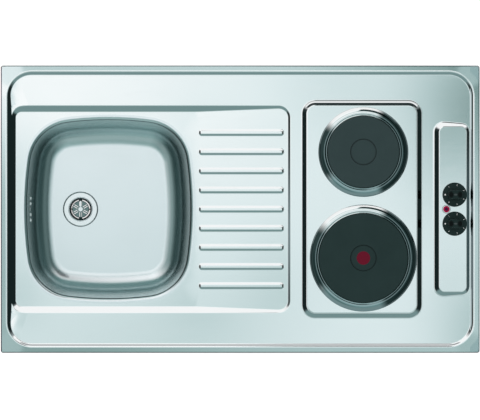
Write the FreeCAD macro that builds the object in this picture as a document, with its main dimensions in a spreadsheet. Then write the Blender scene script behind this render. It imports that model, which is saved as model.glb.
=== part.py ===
import FreeCAD, Part
import math
import os
import re

import Sketcher

# A lay-on kitchenette top in stainless steel: bowl, drainer, two hotplates and a control strip.
# X runs from the bowl to the controls, Y to the back, Z up. The origin is the middle of the
# footprint, in the plane of the return flanges that the top rests on.

DOCUMENT = FreeCAD.newDocument("kitchenette_top")
SIZES = DOCUMENT.addObject("Spreadsheet::Sheet", "Sizes")
VECTOR = FreeCAD.Vector
ORIGIN_POINT = (-1, 1)
nodes = []

# Driving dimensions, in millimetres or degrees.
DIMENSIONS = {
    # The folded sheet: rim, step down to the deck, return flanges.
    "unit_length": 1000,
    "unit_depth": 600,
    "rim_height": 40,
    "sheet_thickness": 0.8,
    "rim_width": 13,
    "step_drop": 5,
    "step_run": 6,
    "step_corner": 52,
    "flange_width": 18,
    "flange_notch": 30,
    # The sunk sink field and its ribbed drainer.
    "field_gap": 13.4,
    "field_half_depth": 216,
    "field_corner": 25,
    "field_drop": 10,
    "field_run": 12,
    "drainer_rise": 6.3,
    "rib_gap": 5,
    "rib_end_gap": 13.6,
    "rib_width": 13,
    "rib_corner": 5.5,
    "rib_run": 3.5,
    "rib_height": 3,
    "rib_pitch": 40,
    "rib_count": 9,
    # The drawn bowl: a rectangle with bowed sides.
    "bowl_inset": 225,
    "bowl_half_width": 173,
    "bowl_half_depth": 188.7,
    "bowl_side_radius": 758,
    "bowl_end_radius": 698,
    "bowl_corner": 92,
    "bowl_depth": 150,
    "bowl_draft": 8,
    "bowl_floor_radius": 40,
    "bowl_mouth_radius": 8,
    "bowl_lip": 9,
    "slope_gap": 2,
    # The waste in the bowl's floor.
    "waste_offset": 60.2,
    "recess_radius": 37,
    "recess_drop": 3,
    "waste_hole_radius": 26,
    "seal_thickness": 1,
    "seal_inset": 1,
    "waste_flange_radius": 35.4,
    "waste_flange_thickness": 1.6,
    "flange_lead_in": 2.2,
    "flange_bevel": 1.2,
    "pit_radius": 23.6,
    "pit_depth": 5,
    "ledge_width": 2.2,
    "strainer_radius": 18,
    "strainer_thickness": 1.5,
    "strainer_bridge_width": 7,
    "strainer_arms": 6,
    "strainer_arm_width": 2.4,
    "strainer_arm_height": 1.2,
    "strainer_slot_width": 1.4,
    "strainer_slot_inset": 2,
    "strainer_gap": 0.4,
    "screw_radius": 3,
    "screw_head_radius": 4.6,
    "screw_head_height": 2.2,
    "bottom_seal_thickness": 2,
    "waste_collar_radius": 37,
    "waste_collar_thickness": 3.7,
    "waste_wall": 3,
    "waste_chamber_depth": 30,
    "chamber_bore": 25,
    "hub_radius": 6,
    "hub_height": 10,
    "hub_sink": 1,
    "spoke_width": 3,
    "spoke_height": 4,
    "outlet_radius": 23.9,
    "outlet_bore_radius": 20,
    "outlet_taper": 6,
    "outlet_length": 22,
    "branch_collar": 2,
    "screw_reach": 2,
    # The overflow on the left wall of the bowl, and its hose.
    "overflow_drop": 55,
    "overflow_pitch": 11.5,
    "overflow_slot_width": 5,
    "overflow_slot_height": 9,
    "overflow_length": 68,
    "overflow_height": 26,
    "overflow_depth": 20,
    "overflow_wall": 2,
    "overflow_seal_thickness": 3,
    "overflow_seal_width": 5,
    "overflow_screw_radius": 2,
    "overflow_screw_head": 4.2,
    "overflow_screw_stand": 1.1,
    "spigot_radius": 8.8,
    "spigot_bore": 6.8,
    "spigot_length": 16,
    "branch_drop": 20,
    "hose_clearance": 0.2,
    "hose_wall": 1,
    "hose_rib_height": 1.6,
    "hose_rib_pitch": 5,
    "hose_crest_start": 0.25,
    "hose_crest_end": 0.6,
    "hose_rib_end": 0.85,
    "hose_bend_radius": 42,
    "hose_cuff": 23,
    "clip_width": 8,
    "clip_thickness": 1.2,
    # The raised hob platform and the two hotplates.
    "hob_inset": 245.9,
    "hob_width": 250,
    "hob_half_depth": 227.2,
    "hob_corner": 28,
    "hob_rise": 7,
    "hob_run": 10,
    "plate_shift": 3.1,
    "back_plate_y": 119.5,
    "back_plate_radius": 75,
    "front_plate_y": -102,
    "front_plate_radius": 93,
    "plate_rise": 10,
    "plate_edge": 1.5,
    "plate_skirt": 12,
    "plate_wall": 5,
    "plate_web": 5.5,
    "plate_recess_radius": 27,
    "plate_recess_depth": 1.5,
    "plate_recess_slope": 0.8,
    "plate_boss_radius": 12,
    "groove_rib_width": 3,
    "groove_rib_height": 3.5,
    "heater_width": 6,
    "heater_height": 3,
    "cutout_gap": 4,
    "ring_width": 19,
    "ring_height": 6,
    "ring_thickness": 0.8,
    "ring_gap": 0.1,
    "ring_lift": 1,
    "ring_crown_start": 5,
    "ring_crown_end": 8,
    "ring_crown_fall": 0.3,
    "ring_toe_run": 1.5,
    "ring_toe_rise": 2.2,
    "ring_toe_edge": 0.9,
    "ring_seal_inset": 2.5,
    "plate_seal_width": 6.5,
    "plate_seal_thickness": 1.2,
    "plate_cover_thickness": 0.8,
    "stud_radius": 4,
    "stud_length": 37,
    "stud_depth": 3,
    "fit_gap": 0.3,
    "hole_gap": 0.2,
    "thread_gap": 0.05,
    "bridge_width": 22,
    "bridge_thickness": 2,
    "bridge_foot": 10,
    "bridge_drop": 19,
    "bridge_half_web": 20,
    "bridge_leg": 7,
    "bridge_gap": 2,
    "nut_radius": 7.5,
    "nut_height": 6.5,
    "terminal_offset": 38,
    "terminal_length": 34,
    "terminal_width": 16,
    "terminal_height": 15,
    "limiter_length": 20,
    "limiter_height": 9,
    # The raised control strip, which tilts towards the right.
    "control_inset": 55.8,
    "control_width": 57.6,
    "control_length": 345.4,
    "control_corner": 12,
    "control_left_rise": 8,
    "control_right_rise": 4,
    "control_flare": 50,
    "dial_x": 3.6,
    "dial_y": 30.3,
    "shaft_hole_radius": 5,
    "shaft_radius": 3,
    "shaft_top": 19,
    "shaft_bottom": -20,
    "shaft_flat": 2,
    "shaft_flat_start": 3,
    "running_clearance": 0.08,
    "knob_seal_radius": 8,
    "knob_seal_thickness": 1,
    "knob_radius": 25.4,
    "knob_gap": 1.2,
    "knob_rim": 3,
    "knob_bevel": 1.2,
    "knob_crown_radius": 15.2,
    "knob_hub_gap": 1.8,
    "knob_fit": 0.02,
    "knob_skirt_wall": 2.6,
    "knob_skirt_top": 8,
    "knob_hub_radius": 6,
    "knob_height": 26,
    "grip_length": 31,
    "grip_width": 20,
    "grip_corner": 5,
    "grip_draft": 5,
    "grip_edge": 2,
    "spring_thickness": 0.6,
    "spring_width": 2.8,
    "spring_length": 13,
    "switch_length": 40,
    "switch_width": 34,
    "switch_height": 26,
    "switch_roof": 4,
    "switch_wall": 5,
    "switch_cover_thickness": 3,
    "cam_radius": 8,
    "cam_track_depth": 1.5,
    "cam_gap": 0.5,
    "cam_track_low": 5,
    "cam_track_high": 9,
    "pivot_radius": 2,
    "contact_x": 12,
    "contact_y": 7,
    "contact_thickness": 0.8,
    "contact_width": 6,
    "contact_tail": 9,
    "contact_gap": 0.4,
    "contact_rest": 4,
    "rivet_width": 2,
    "rivet_height": 3,
    "switch_screw_y": 14.5,
    "switch_screw_radius": 1.5,
    "switch_screw_head": 3,
    "switch_screw_head_height": 1.8,
    "switch_screw_length": 10,
    "lamp_x": -13.8,
    "lamp_hole_radius": 6,
    "lamp_stem_radius": 5.7,
    "lamp_stem_drop": 2,
    "lens_radius": 6.9,
    "lens_height": 5.6,
    "lens_side": 2.6,
    "lens_shoulder_radius": 5.8,
    "lens_shoulder_height": 4.5,
    "lens_crown_radius": 3.1,
    "bezel_radius": 8.9,
    "bezel_height": 2.4,
    "bezel_edge": 0.9,
    "bezel_gap": 0.1,
    "lamp_body_radius": 6.5,
    "lamp_body_length": 20,
    # The closed tray below the hob and the controls, with the supply entry.
    "tray_inset": 22,
    "tray_length": 360,
    "tray_half_depth": 240,
    "tray_floor": -25,
    "tray_lip": 9,
    "tray_stud_radius": 2,
    "tray_stud_length": 10,
    "tray_nut_radius": 4.2,
    "tray_nut_height": 3.2,
    "tray_stud_first_inset": 62,
    "tray_stud_second_inset": 78,
    "tray_stud_side_y": 150,
    "gland_inset": 200,
    "gland_z": -12,
    "gland_bore": 6.5,
    "gland_thread_radius": 10,
    "gland_hex_radius": 12,
    "gland_hex_length": 6,
    "gland_dome_radius": 9.5,
    "gland_dome_length": 12,
    "gland_dome_edge": 1.5,
    "gland_inside_length": 10,
    "gland_nut_height": 5,
    "mains_length": 60,
    "mains_width": 24,
    "mains_height": 20,
    "mains_gap": 14,
    "mains_poles": 5,
    "mains_wire_radius": 2.5,
    "loom_radius": 3,
    "plate_loom_level": -19.5,
    "supply_loom_level": -7,
    "lamp_loom_level": 5,
    "lamp_loom_radius": 1.8,
    "entry_run": 30,
    "loom_gap": 0.2,
    "stiffener_inset": 150,
    "stiffener_width": 24,
    "stiffener_height": 18,
    "stiffener_thickness": 1,
    "stiffener_gap": 4,
    "damping_thickness": 3,
    "damping_margin": 8,
}

# Places along the sheet that follow from its length and the dimensions above.
PLACES = {
    "bowl_x": "=bowl_inset - unit_length / 2",
    "hob_x": "=unit_length / 2 - hob_inset",
    "plate_x": "=hob_x + plate_shift",
    "control_x": "=unit_length / 2 - control_inset",
    "tray_right": "=unit_length / 2 - tray_inset",
    "tray_left": "=tray_right - tray_length",
    "field_right": "=tray_left - field_gap",
    "slope_start": "=bowl_x + bowl_half_width + bowl_lip + slope_gap",
    "rib_length": "=field_right - rib_end_gap - slope_start - rib_gap",
    "tray_stud_first_x": "=tray_left + tray_stud_first_inset",
    "tray_stud_second_x": "=tray_right - tray_stud_second_inset",
    "gland_x": "=unit_length / 2 - gland_inset",
    "stiffener_length": "=unit_length - 2 * stiffener_inset",
}
CELLS = {**DIMENSIONS, **PLACES}
for row, (name, value) in enumerate(CELLS.items(), 1):
    SIZES.set(f"A{row}", name)
    SIZES.set(f"B{row}", str(value))
    SIZES.setAlias(f"B{row}", name)
DOCUMENT.recompute()


def bound(text):
    """The expression with each size's name pointing at its cell."""
    return re.sub(r"[a-z_]+", lambda word: "Sizes." + word[0] if word[0] in CELLS else word[0], str(text))


def number(text):
    """The value of an expression at the present sizes."""
    return float(SIZES.evalExpression(bound(text)))


def bind(thing, field, text):
    """Ties one property of a thing to an expression on the sizes."""
    thing.setExpression(field, bound(text))


# Levels and places that several pieces share.
DECK_TOP = "(rim_height - step_drop)"
DECK_UNDER = f"({DECK_TOP} - sheet_thickness)"
FIELD_FLOOR = f"({DECK_TOP} - field_drop)"
FIELD_LEFT = "(rim_width + step_run - unit_length / 2)"
SLOPE = "atan(drainer_rise / (field_right - slope_start))"
BOWL_FLOOR = f"({FIELD_FLOOR} - bowl_depth)"
RECESS_FLOOR = f"({BOWL_FLOOR} - recess_drop)"
WASTE_X = "(bowl_x - waste_offset)"
HOB_TOP = f"({DECK_TOP} + hob_rise)"
CONTROL_TILT = "asin((control_left_rise - control_right_rise) / control_width)"
CONTROL_Z = f"({DECK_TOP} + (control_left_rise + control_right_rise) / 2)"
OVERFLOW_Z = f"({FIELD_FLOOR} - overflow_drop)"
OUTER_GROW = "(sheet_thickness / cos(bowl_draft))"
OVERFLOW_X = f"(bowl_x - bowl_half_width - {OUTER_GROW} + overflow_drop * tan(bowl_draft))"

# A frame is an origin in X and Z, and a turn about Y. Its own Z leaves the surface that it lies on.
LEVEL = ("0", "0", "0")
DRAINER = ("slope_start", f"({FIELD_FLOOR} - sheet_thickness)", f"(-1 * {SLOPE})")
WASTE = (WASTE_X, RECESS_FLOOR, "0")
HOB = ("plate_x", HOB_TOP, "0")
CONTROL = ("control_x", CONTROL_Z, CONTROL_TILT)
WALL = (OVERFLOW_X, OVERFLOW_Z, "(0 - bowl_draft)")
WALL_NORMAL = (OVERFLOW_X, OVERFLOW_Z, "(90 - bowl_draft)")


def seat(thing, frame, x="0", y="0", z="0"):
    """Places a thing at x, y, z of a frame and turns it with the frame."""
    across, up, turn = frame
    thing.Placement = FreeCAD.Placement(VECTOR(), FreeCAD.Rotation(VECTOR(0, 1, 0), 1))
    bind(thing, "Placement.Base.x", f"{across} + ({x}) * cos({turn}) + ({z}) * sin({turn})")
    bind(thing, "Placement.Base.y", y)
    bind(thing, "Placement.Base.z", f"{up} - ({x}) * sin({turn}) + ({z}) * cos({turn})")
    bind(thing, "Placement.Rotation.Angle", turn)
    return thing


def face_back(thing, x, y, z):
    """Places a thing at x, y, z with its own Z pointing to the back."""
    thing.Placement = FreeCAD.Placement(VECTOR(), FreeCAD.Rotation(VECTOR(1, 0, 0), -90))
    bind(thing, "Placement.Base.x", x)
    bind(thing, "Placement.Base.y", y)
    bind(thing, "Placement.Base.z", z)
    bind(thing, "Placement.Rotation.Angle", "-90")
    return thing


def node(label, thing):
    """Names a finished sub-part."""
    thing.Label = label
    nodes.append(thing)
    return thing


def block(frame, x, y, z, length, width, height):
    """A box whose lowest corner is at x, y, z of a frame."""
    box = DOCUMENT.addObject("Part::Box", "Block")
    bind(box, "Length", length)
    bind(box, "Width", width)
    bind(box, "Height", height)
    return seat(box, frame, x, y, z)


def slab(frame, x, y, z, length, width, height):
    """A box centred on x, y of a frame, rising from z."""
    return block(frame, f"{x} - {length} / 2", f"{y} - {width} / 2", z, length, width, height)


def rod(frame, x, y, z, radius, height):
    """A cylinder that rises from x, y, z of a frame."""
    cylinder = DOCUMENT.addObject("Part::Cylinder", "Rod")
    bind(cylinder, "Radius", radius)
    bind(cylinder, "Height", height)
    return seat(cylinder, frame, x, y, z)


def hexagon(frame, x, y, z, radius, height):
    """A six-sided prism that rises from x, y, z of a frame."""
    prism = DOCUMENT.addObject("Part::Prism", "Hexagon")
    prism.Polygon = 6
    bind(prism, "Circumradius", radius)
    bind(prism, "Height", height)
    return seat(prism, frame, x, y, z)


def back_rod(x, y, z, radius, length):
    """A cylinder that runs to the back from x, y, z."""
    cylinder = DOCUMENT.addObject("Part::Cylinder", "Rod")
    bind(cylinder, "Radius", radius)
    bind(cylinder, "Height", length)
    return face_back(cylinder, x, y, z)


def back_hexagon(x, y, z, radius, length):
    """A six-sided prism that runs to the back from x, y, z."""
    prism = DOCUMENT.addObject("Part::Prism", "Hexagon")
    prism.Polygon = 6
    bind(prism, "Circumradius", radius)
    bind(prism, "Height", length)
    return face_back(prism, x, y, z)


def join(things):
    """Several things as one; those that touch become one solid."""
    fusion = DOCUMENT.addObject("Part::MultiFuse", "Join")
    fusion.Shapes = things
    return fusion


def cut(base, tool):
    """A thing without the space that another takes."""
    difference = DOCUMENT.addObject("Part::Cut", "Cut")
    difference.Base = base
    difference.Tool = tool
    return difference


def new_sketch(body, role, height="0"):
    """A sketch on one of the body's own planes, lifted along the plane's normal."""
    sketch = body.newObject("Sketcher::SketchObject", "Sketch")
    plane = next(feature for feature in body.Origin.OriginFeatures if feature.Role == role)
    sketch.AttachmentSupport = [(plane, "")]
    sketch.MapMode = "FlatFace"
    bind(sketch, "AttachmentOffset.Base.z", height)
    return sketch


def tilted_sketch(body, frame, drop):
    """A sketch in the X-Y plane of a frame, lowered by a distance along Z."""
    across, up, turn = frame
    sketch = new_sketch(body, "XY_Plane", f"{up} - {drop}")
    sketch.AttachmentOffset = FreeCAD.Placement(VECTOR(), FreeCAD.Rotation(VECTOR(0, 1, 0), 1))
    bind(sketch, "AttachmentOffset.Base.x", across)
    bind(sketch, "AttachmentOffset.Base.z", f"{up} - {drop}")
    bind(sketch, "AttachmentOffset.Rotation.Angle", turn)
    return sketch


def limit(sketch, kind, text, *points):
    """Adds a dimension whose value is an expression."""
    index = sketch.addConstraint(Sketcher.Constraint(kind, *points, number(text)))
    bind(sketch, f"Constraints[{index}]", text)


def fix(sketch, element, point, x, y):
    """Holds one point of a sketch at x and y."""
    limit(sketch, "DistanceX", x, *ORIGIN_POINT, element, point)
    limit(sketch, "DistanceY", y, *ORIGIN_POINT, element, point)


def polygon(sketch, corners):
    """A closed outline of straight edges through the corners."""
    points = [VECTOR(number(x), number(y), 0) for x, y in corners]
    following = points[1:] + points[:1]
    edges = [sketch.addGeometry(Part.LineSegment(*ends), False) for ends in zip(points, following)]
    for edge, after, (x, y) in zip(edges, edges[1:] + edges[:1], corners):
        sketch.addConstraint(Sketcher.Constraint("Coincident", edge, 2, after, 1))
        fix(sketch, edge, 1, x, y)


def rectangle(sketch, left, right, front, back):
    """A rectangle with sharp corners."""
    polygon(sketch, [(left, front), (right, front), (right, back), (left, back)])


def circle(sketch, x, y, radius):
    """A circle about x, y."""
    ring = Part.Circle(VECTOR(number(x), number(y), 0), VECTOR(0, 0, 1), number(radius))
    index = sketch.addGeometry(ring, False)
    fix(sketch, index, 3, x, y)
    limit(sketch, "Radius", radius, index)


def arc(sketch, x, y, radius, start, end):
    """An arc about x, y between two angles in radians."""
    ring = Part.Circle(VECTOR(x, y, 0), VECTOR(0, 0, 1), radius)
    return sketch.addGeometry(Part.ArcOfCircle(ring, start, end), False)


def rounded_rectangle(sketch, left, right, front, back, corner):
    """A rectangle whose four corners are equal arcs."""
    x0, x1, y0, y1, r = (number(text) for text in (left, right, front, back, corner))
    edges = [((x0 + r, y0), (x1 - r, y0)), ((x1, y0 + r), (x1, y1 - r))]
    edges += [((x1 - r, y1), (x0 + r, y1)), ((x0, y1 - r), (x0, y0 + r))]
    centres = [(x1 - r, y0 + r), (x1 - r, y1 - r), (x0 + r, y1 - r), (x0 + r, y0 + r)]
    for quarter, ((start, end), centre) in enumerate(zip(edges, centres)):
        sketch.addGeometry(Part.LineSegment(VECTOR(*start, 0), VECTOR(*end, 0)), False)
        turn = (quarter - 1) * math.pi / 2
        arc(sketch, *centre, r, turn, turn + math.pi / 2)
    for element in range(8):
        sketch.addConstraint(Sketcher.Constraint("Tangent", element, 2, (element + 1) % 8, 1))
    for element, direction in ((0, "Horizontal"), (2, "Vertical"), (4, "Horizontal"), (6, "Vertical")):
        sketch.addConstraint(Sketcher.Constraint(direction, element))
    limit(sketch, "DistanceY", front, *ORIGIN_POINT, 0, 1)
    limit(sketch, "DistanceX", right, *ORIGIN_POINT, 2, 1)
    limit(sketch, "DistanceY", back, *ORIGIN_POINT, 4, 1)
    limit(sketch, "DistanceX", left, *ORIGIN_POINT, 6, 1)
    limit(sketch, "Radius", corner, 1)
    for element in (3, 5, 7):
        sketch.addConstraint(Sketcher.Constraint("Equal", 1, element))


def bowed_rectangle(sketch, grow):
    """The bowl's outline, grown outwards: two side arcs, two end arcs and four corner arcs."""
    side = f"(bowl_side_radius + {grow})"
    end = f"(bowl_end_radius + {grow})"
    corner = f"(bowl_corner + {grow})"
    reach = "(bowl_side_radius - bowl_half_width)"
    rise = "(bowl_end_radius - bowl_half_depth)"
    middle, dx, dy = number("bowl_x"), number(reach), number(rise)
    side_r, end_r, corner_r = number(side), number(end), number(corner)
    # The corner's centre lies where it touches both arcs from inside.
    span = math.hypot(dx, dy)
    along = (span**2 + (side_r - corner_r) ** 2 - (end_r - corner_r) ** 2) / (2 * span)
    off = math.sqrt((side_r - corner_r) ** 2 - along**2)
    corner_x = -dx + (along * dx + off * dy) / span
    corner_y = (off * dx - along * dy) / span
    low = math.atan2(corner_y, corner_x + dx)
    high = math.atan2(corner_y + dy, corner_x)
    half = math.pi
    turns = [-low, low, high, half - high, half - low]
    turns += [half + low, half + high, 2 * half - high, 2 * half - low]
    centres = [
        (-dx, 0, side_r),
        (corner_x, corner_y, corner_r),
        (0, -dy, end_r),
        (-corner_x, corner_y, corner_r),
        (dx, 0, side_r),
        (-corner_x, -corner_y, corner_r),
        (0, dy, end_r),
        (corner_x, -corner_y, corner_r),
    ]
    for (x, y, radius), start, stop in zip(centres, turns, turns[1:]):
        arc(sketch, middle + x, y, radius, start, stop)
    for element in range(8):
        sketch.addConstraint(Sketcher.Constraint("Tangent", element, 2, (element + 1) % 8, 1))
    limit(sketch, "Radius", side, 0)
    limit(sketch, "Radius", end, 2)
    limit(sketch, "Radius", corner, 1)
    for first, second in ((0, 4), (2, 6), (1, 3), (1, 5), (1, 7)):
        sketch.addConstraint(Sketcher.Constraint("Equal", first, second))
    fix(sketch, 0, 3, f"bowl_x - {reach}", "0")
    fix(sketch, 2, 3, "bowl_x", f"0 - {rise}")
    fix(sketch, 4, 3, f"bowl_x + {reach}", "0")
    fix(sketch, 6, 3, "bowl_x", rise)


def extrude(kind, body, sketch, length, down, spread):
    """Pads or pockets a sketch; a positive spread leans the walls outwards on the way."""
    feature = body.newObject("PartDesign::" + kind, kind)
    feature.Profile = sketch
    feature.Reversed = down
    bind(feature, "Length", length)
    bind(feature, "TaperAngle", spread)
    return feature


def pad(body, sketch, length, down=False, spread="0"):
    return extrude("Pad", body, sketch, length, down, spread)


def pocket(body, sketch, length, up=False, spread="0"):
    return extrude("Pocket", body, sketch, length, up, spread)


def fillet(body, feature, radius, chosen):
    """Rounds the edges of a feature that a test picks."""
    DOCUMENT.recompute()
    picked = [f"Edge{index + 1}" for index, edge in enumerate(feature.Shape.Edges) if chosen(edge)]
    rounding = body.newObject("PartDesign::Fillet", "Fillet")
    rounding.Base = (feature, picked)
    bind(rounding, "Radius", radius)
    return rounding


def turned(frame, x, y, z, profile):
    """A body of revolution about the frame's Z at x, y, z; its profile is radius and height."""
    body = DOCUMENT.addObject("PartDesign::Body", "Turned")
    sketch = new_sketch(body, "XZ_Plane")
    polygon(sketch, profile)
    revolution = body.newObject("PartDesign::Revolution", "Revolution")
    revolution.Profile = sketch
    revolution.ReferenceAxis = (sketch, ["V_Axis"])
    revolution.Angle = 360
    return seat(body, frame, x, y, z)


def ring(frame, x, y, z, inner, outer, height):
    """A plain flat ring."""
    top = f"({height})"
    return turned(frame, x, y, z, [(inner, "0"), (outer, "0"), (outer, top), (inner, top)])


# --- Deck: one pressed stainless sheet, folded down at the edges ----------------------------------
def pressing(drop, inset, base):
    """The form that the sheet is drawn over. The underside is the same form, one sheet lower."""
    body = DOCUMENT.addObject("PartDesign::Body", "Pressing")
    rim = f"(rim_height - {drop})"
    deck = f"({DECK_TOP} - {drop})"
    floor = f"({FIELD_FLOOR} - {drop})"
    half_length = f"(unit_length / 2 - {inset})"
    half_depth = f"(unit_depth / 2 - {inset})"
    outline = new_sketch(body, "XY_Plane", base)
    rectangle(outline, f"0 - {half_length}", half_length, f"0 - {half_depth}", half_depth)
    pad(body, outline, f"{rim} - {base}")

    step = new_sketch(body, "XY_Plane", rim)
    step_x = "(unit_length / 2 - rim_width)"
    step_y = "(unit_depth / 2 - rim_width)"
    rounded_rectangle(step, f"0 - {step_x}", step_x, f"0 - {step_y}", step_y, "step_corner")
    pocket(body, step, "step_drop", spread="-1 * atan(step_run / step_drop)")

    field = new_sketch(body, "XY_Plane", deck)
    front, back = "0 - field_half_depth", "field_half_depth"
    rounded_rectangle(field, FIELD_LEFT, "field_right", front, back, "field_corner")
    pocket(body, field, "field_drop", spread="-1 * atan(field_run / field_drop)")

    wedge = new_sketch(body, "XZ_Plane")
    wedge_top = f"{floor} + drainer_rise"
    polygon(wedge, [("slope_start", floor), ("field_right", floor), ("field_right", wedge_top)])
    pad(body, wedge, "2 * field_half_depth").Midplane = True

    rib = tilted_sketch(body, ("slope_start", FIELD_FLOOR, f"(-1 * {SLOPE})"), drop)
    first = "(0 - rib_pitch * (round(rib_count) - 1) / 2)"
    front, back = f"{first} - rib_width / 2", f"{first} + rib_width / 2"
    rounded_rectangle(rib, "rib_gap", "rib_gap + rib_length", front, back, "rib_corner")
    first_rib = pad(body, rib, "rib_height", spread="-1 * atan(rib_run / rib_height)")
    ribs = body.newObject("PartDesign::LinearPattern", "Ribs")
    ribs.Originals = [first_rib]
    ribs.Direction = (next(f for f in body.Origin.OriginFeatures if f.Role == "Y_Axis"), [""])
    bind(ribs, "Length", "rib_pitch * (round(rib_count) - 1)")
    bind(ribs, "Occurrences", "round(rib_count)")
    body.Tip = ribs

    hob = new_sketch(body, "XY_Plane", deck)
    left, right = "hob_x - hob_width / 2", "hob_x + hob_width / 2"
    rounded_rectangle(hob, left, right, "0 - hob_half_depth", "hob_half_depth", "hob_corner")
    pad(body, hob, "hob_rise", spread="-1 * atan(hob_run / hob_rise)")

    strip = tilted_sketch(body, CONTROL, drop)
    left, right = "0 - control_width / 2", "control_width / 2"
    rounded_rectangle(strip, left, right, "0 - control_length / 2", "control_length / 2", "control_corner")
    pad(body, strip, "control_left_rise + control_right_rise / 2", down=True, spread="control_flare")
    return body


def pierce(body, sketch):
    """Cuts a sketch all the way down through a body."""
    pocket(body, sketch, "rim_height").Type = "ThroughAll"


top_form = pressing("0", "0", "0")
under_form = pressing("sheet_thickness", "sheet_thickness", "(0 - sheet_thickness)")
bowl_hole = new_sketch(top_form, "XY_Plane", FIELD_FLOOR)
bowed_rectangle(bowl_hole, "bowl_lip")
pierce(top_form, bowl_hole)
plate_holes = new_sketch(top_form, "XY_Plane", HOB_TOP)
circle(plate_holes, "plate_x", "back_plate_y", "back_plate_radius + cutout_gap")
circle(plate_holes, "plate_x", "front_plate_y", "front_plate_radius + cutout_gap")
pierce(top_form, plate_holes)
control_holes = tilted_sketch(top_form, CONTROL, "0")
circle(control_holes, "lamp_x", "0", "lamp_hole_radius")
for dial_y in ("dial_y", "(0 - dial_y)"):
    circle(control_holes, "dial_x", dial_y, "shaft_hole_radius")
    for side in ("+", "-"):
        circle(control_holes, "dial_x", f"{dial_y} {side} switch_screw_y", "switch_screw_radius + hole_gap")
pierce(top_form, control_holes)

flange_parts = [cut(top_form, under_form)]
flange_long = "(unit_length - 2 * flange_notch)"
flange_short = "(unit_depth - 2 * flange_notch)"
for y in ("0 - unit_depth / 2", "unit_depth / 2 - flange_width"):
    x = "flange_notch - unit_length / 2"
    flange_parts.append(block(LEVEL, x, y, "0", flange_long, "flange_width", "sheet_thickness"))
for x in ("0 - unit_length / 2", "unit_length / 2 - flange_width"):
    y = "flange_notch - unit_depth / 2"
    flange_parts.append(block(LEVEL, x, y, "0", "flange_width", flange_short, "sheet_thickness"))
node("worktop_deck", join(flange_parts))


# --- Deck stiffeners: two channels bonded below the deck, in front of and behind the sink ---------
stiffener_y = "(tray_half_depth + tray_lip + stiffener_gap + stiffener_width / 2)"
channels = []
for y in (f"0 - {stiffener_y} - stiffener_width / 2", f"{stiffener_y} - stiffener_width / 2"):
    x = "0 - stiffener_length / 2"
    z = f"{DECK_UNDER} - stiffener_height"
    outer = block(LEVEL, x, y, z, "stiffener_length", "stiffener_width", "stiffener_height")
    inner_y = f"{y} + stiffener_thickness"
    inner_z = f"{z} + stiffener_thickness"
    inner_width = "stiffener_width - 2 * stiffener_thickness"
    inner = block(LEVEL, x, inner_y, inner_z, "stiffener_length", inner_width, "stiffener_height")
    channels.append(cut(outer, inner))
node("deck_stiffeners", join(channels))


# --- Sink bowl: deep-drawn stainless, welded into the field ---------------------------------------
def at_level(edge, level):
    """True where an edge lies flat at a height."""
    return abs(edge.BoundBox.ZMin - level) < 0.001 and abs(edge.BoundBox.ZMax - level) < 0.001


def bowl_form(grow, depth, lip_grow, lip_height, lip_down, mouth, floor_radius, recess):
    """The bowl's outside or its cavity: a drafted cup, its lip or brim, and the recess for the waste."""
    body = DOCUMENT.addObject("PartDesign::Body", "Bowl_form")
    cup = new_sketch(body, "XY_Plane", FIELD_FLOOR)
    bowed_rectangle(cup, grow)
    pad(body, cup, depth, down=True, spread="0 - bowl_draft")
    lip = new_sketch(body, "XY_Plane", FIELD_FLOOR)
    bowed_rectangle(lip, lip_grow)
    brim = pad(body, lip, lip_height, down=lip_down)
    mouth_level = number(f"{FIELD_FLOOR} - ({lip_height})") if lip_down else number(FIELD_FLOOR)
    low_level = number(f"{FIELD_FLOOR} - ({depth})")
    sink = number(f"({lip_height}) * tan(bowl_draft)") if lip_down else 0
    arcs = ("bowl_side_radius", "bowl_end_radius", "bowl_corner")
    radii = [number(f"{name} + {grow}") - sink for name in arcs]

    def at_mouth(edge):
        """True on the arcs where the cup meets its lip."""
        if not at_level(edge, mouth_level) or not hasattr(edge.Curve, "Radius"):
            return False
        return min(abs(edge.Curve.Radius - radius) for radius in radii) < 0.01

    rounded = fillet(body, brim, mouth, at_mouth)
    fillet(body, rounded, floor_radius, lambda edge: at_level(edge, low_level))
    drain = new_sketch(body, "XY_Plane", f"{FIELD_FLOOR} - ({depth})")
    circle(drain, WASTE_X, "0", recess)
    pad(body, drain, "recess_drop", down=True)
    return body


bowl_outside = bowl_form(
    grow=OUTER_GROW,
    depth="bowl_depth + sheet_thickness",
    lip_grow="bowl_lip",
    lip_height="sheet_thickness",
    lip_down=True,
    mouth="bowl_mouth_radius - sheet_thickness",
    floor_radius="bowl_floor_radius + sheet_thickness",
    recess="recess_radius + sheet_thickness",
)
bowl_cavity = bowl_form(
    grow="0",
    depth="bowl_depth",
    lip_grow="(bowl_lip + sheet_thickness)",
    lip_height="bowl_mouth_radius",
    lip_down=False,
    mouth="bowl_mouth_radius",
    floor_radius="bowl_floor_radius",
    recess="recess_radius",
)
openings = [rod(WASTE, "0", "0", "0 - recess_drop", "waste_hole_radius", "2 * recess_drop")]
for place in (-2, -1, 1, 2):
    y = f"{place} * overflow_pitch"
    z = "0 - overflow_slot_height / 2"
    size_x, size_y = "(2 * overflow_seal_thickness)", "overflow_slot_width"
    openings.append(slab(WALL, "0", y, z, size_x, size_y, "overflow_slot_height"))
start = "0 - overflow_seal_thickness"
reach = "2 * overflow_seal_thickness"
openings.append(rod(WALL_NORMAL, "0", "0", start, "overflow_screw_radius + hole_gap", reach))
node("sink_bowl", cut(cut(bowl_outside, bowl_cavity), join(openings)))


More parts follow.
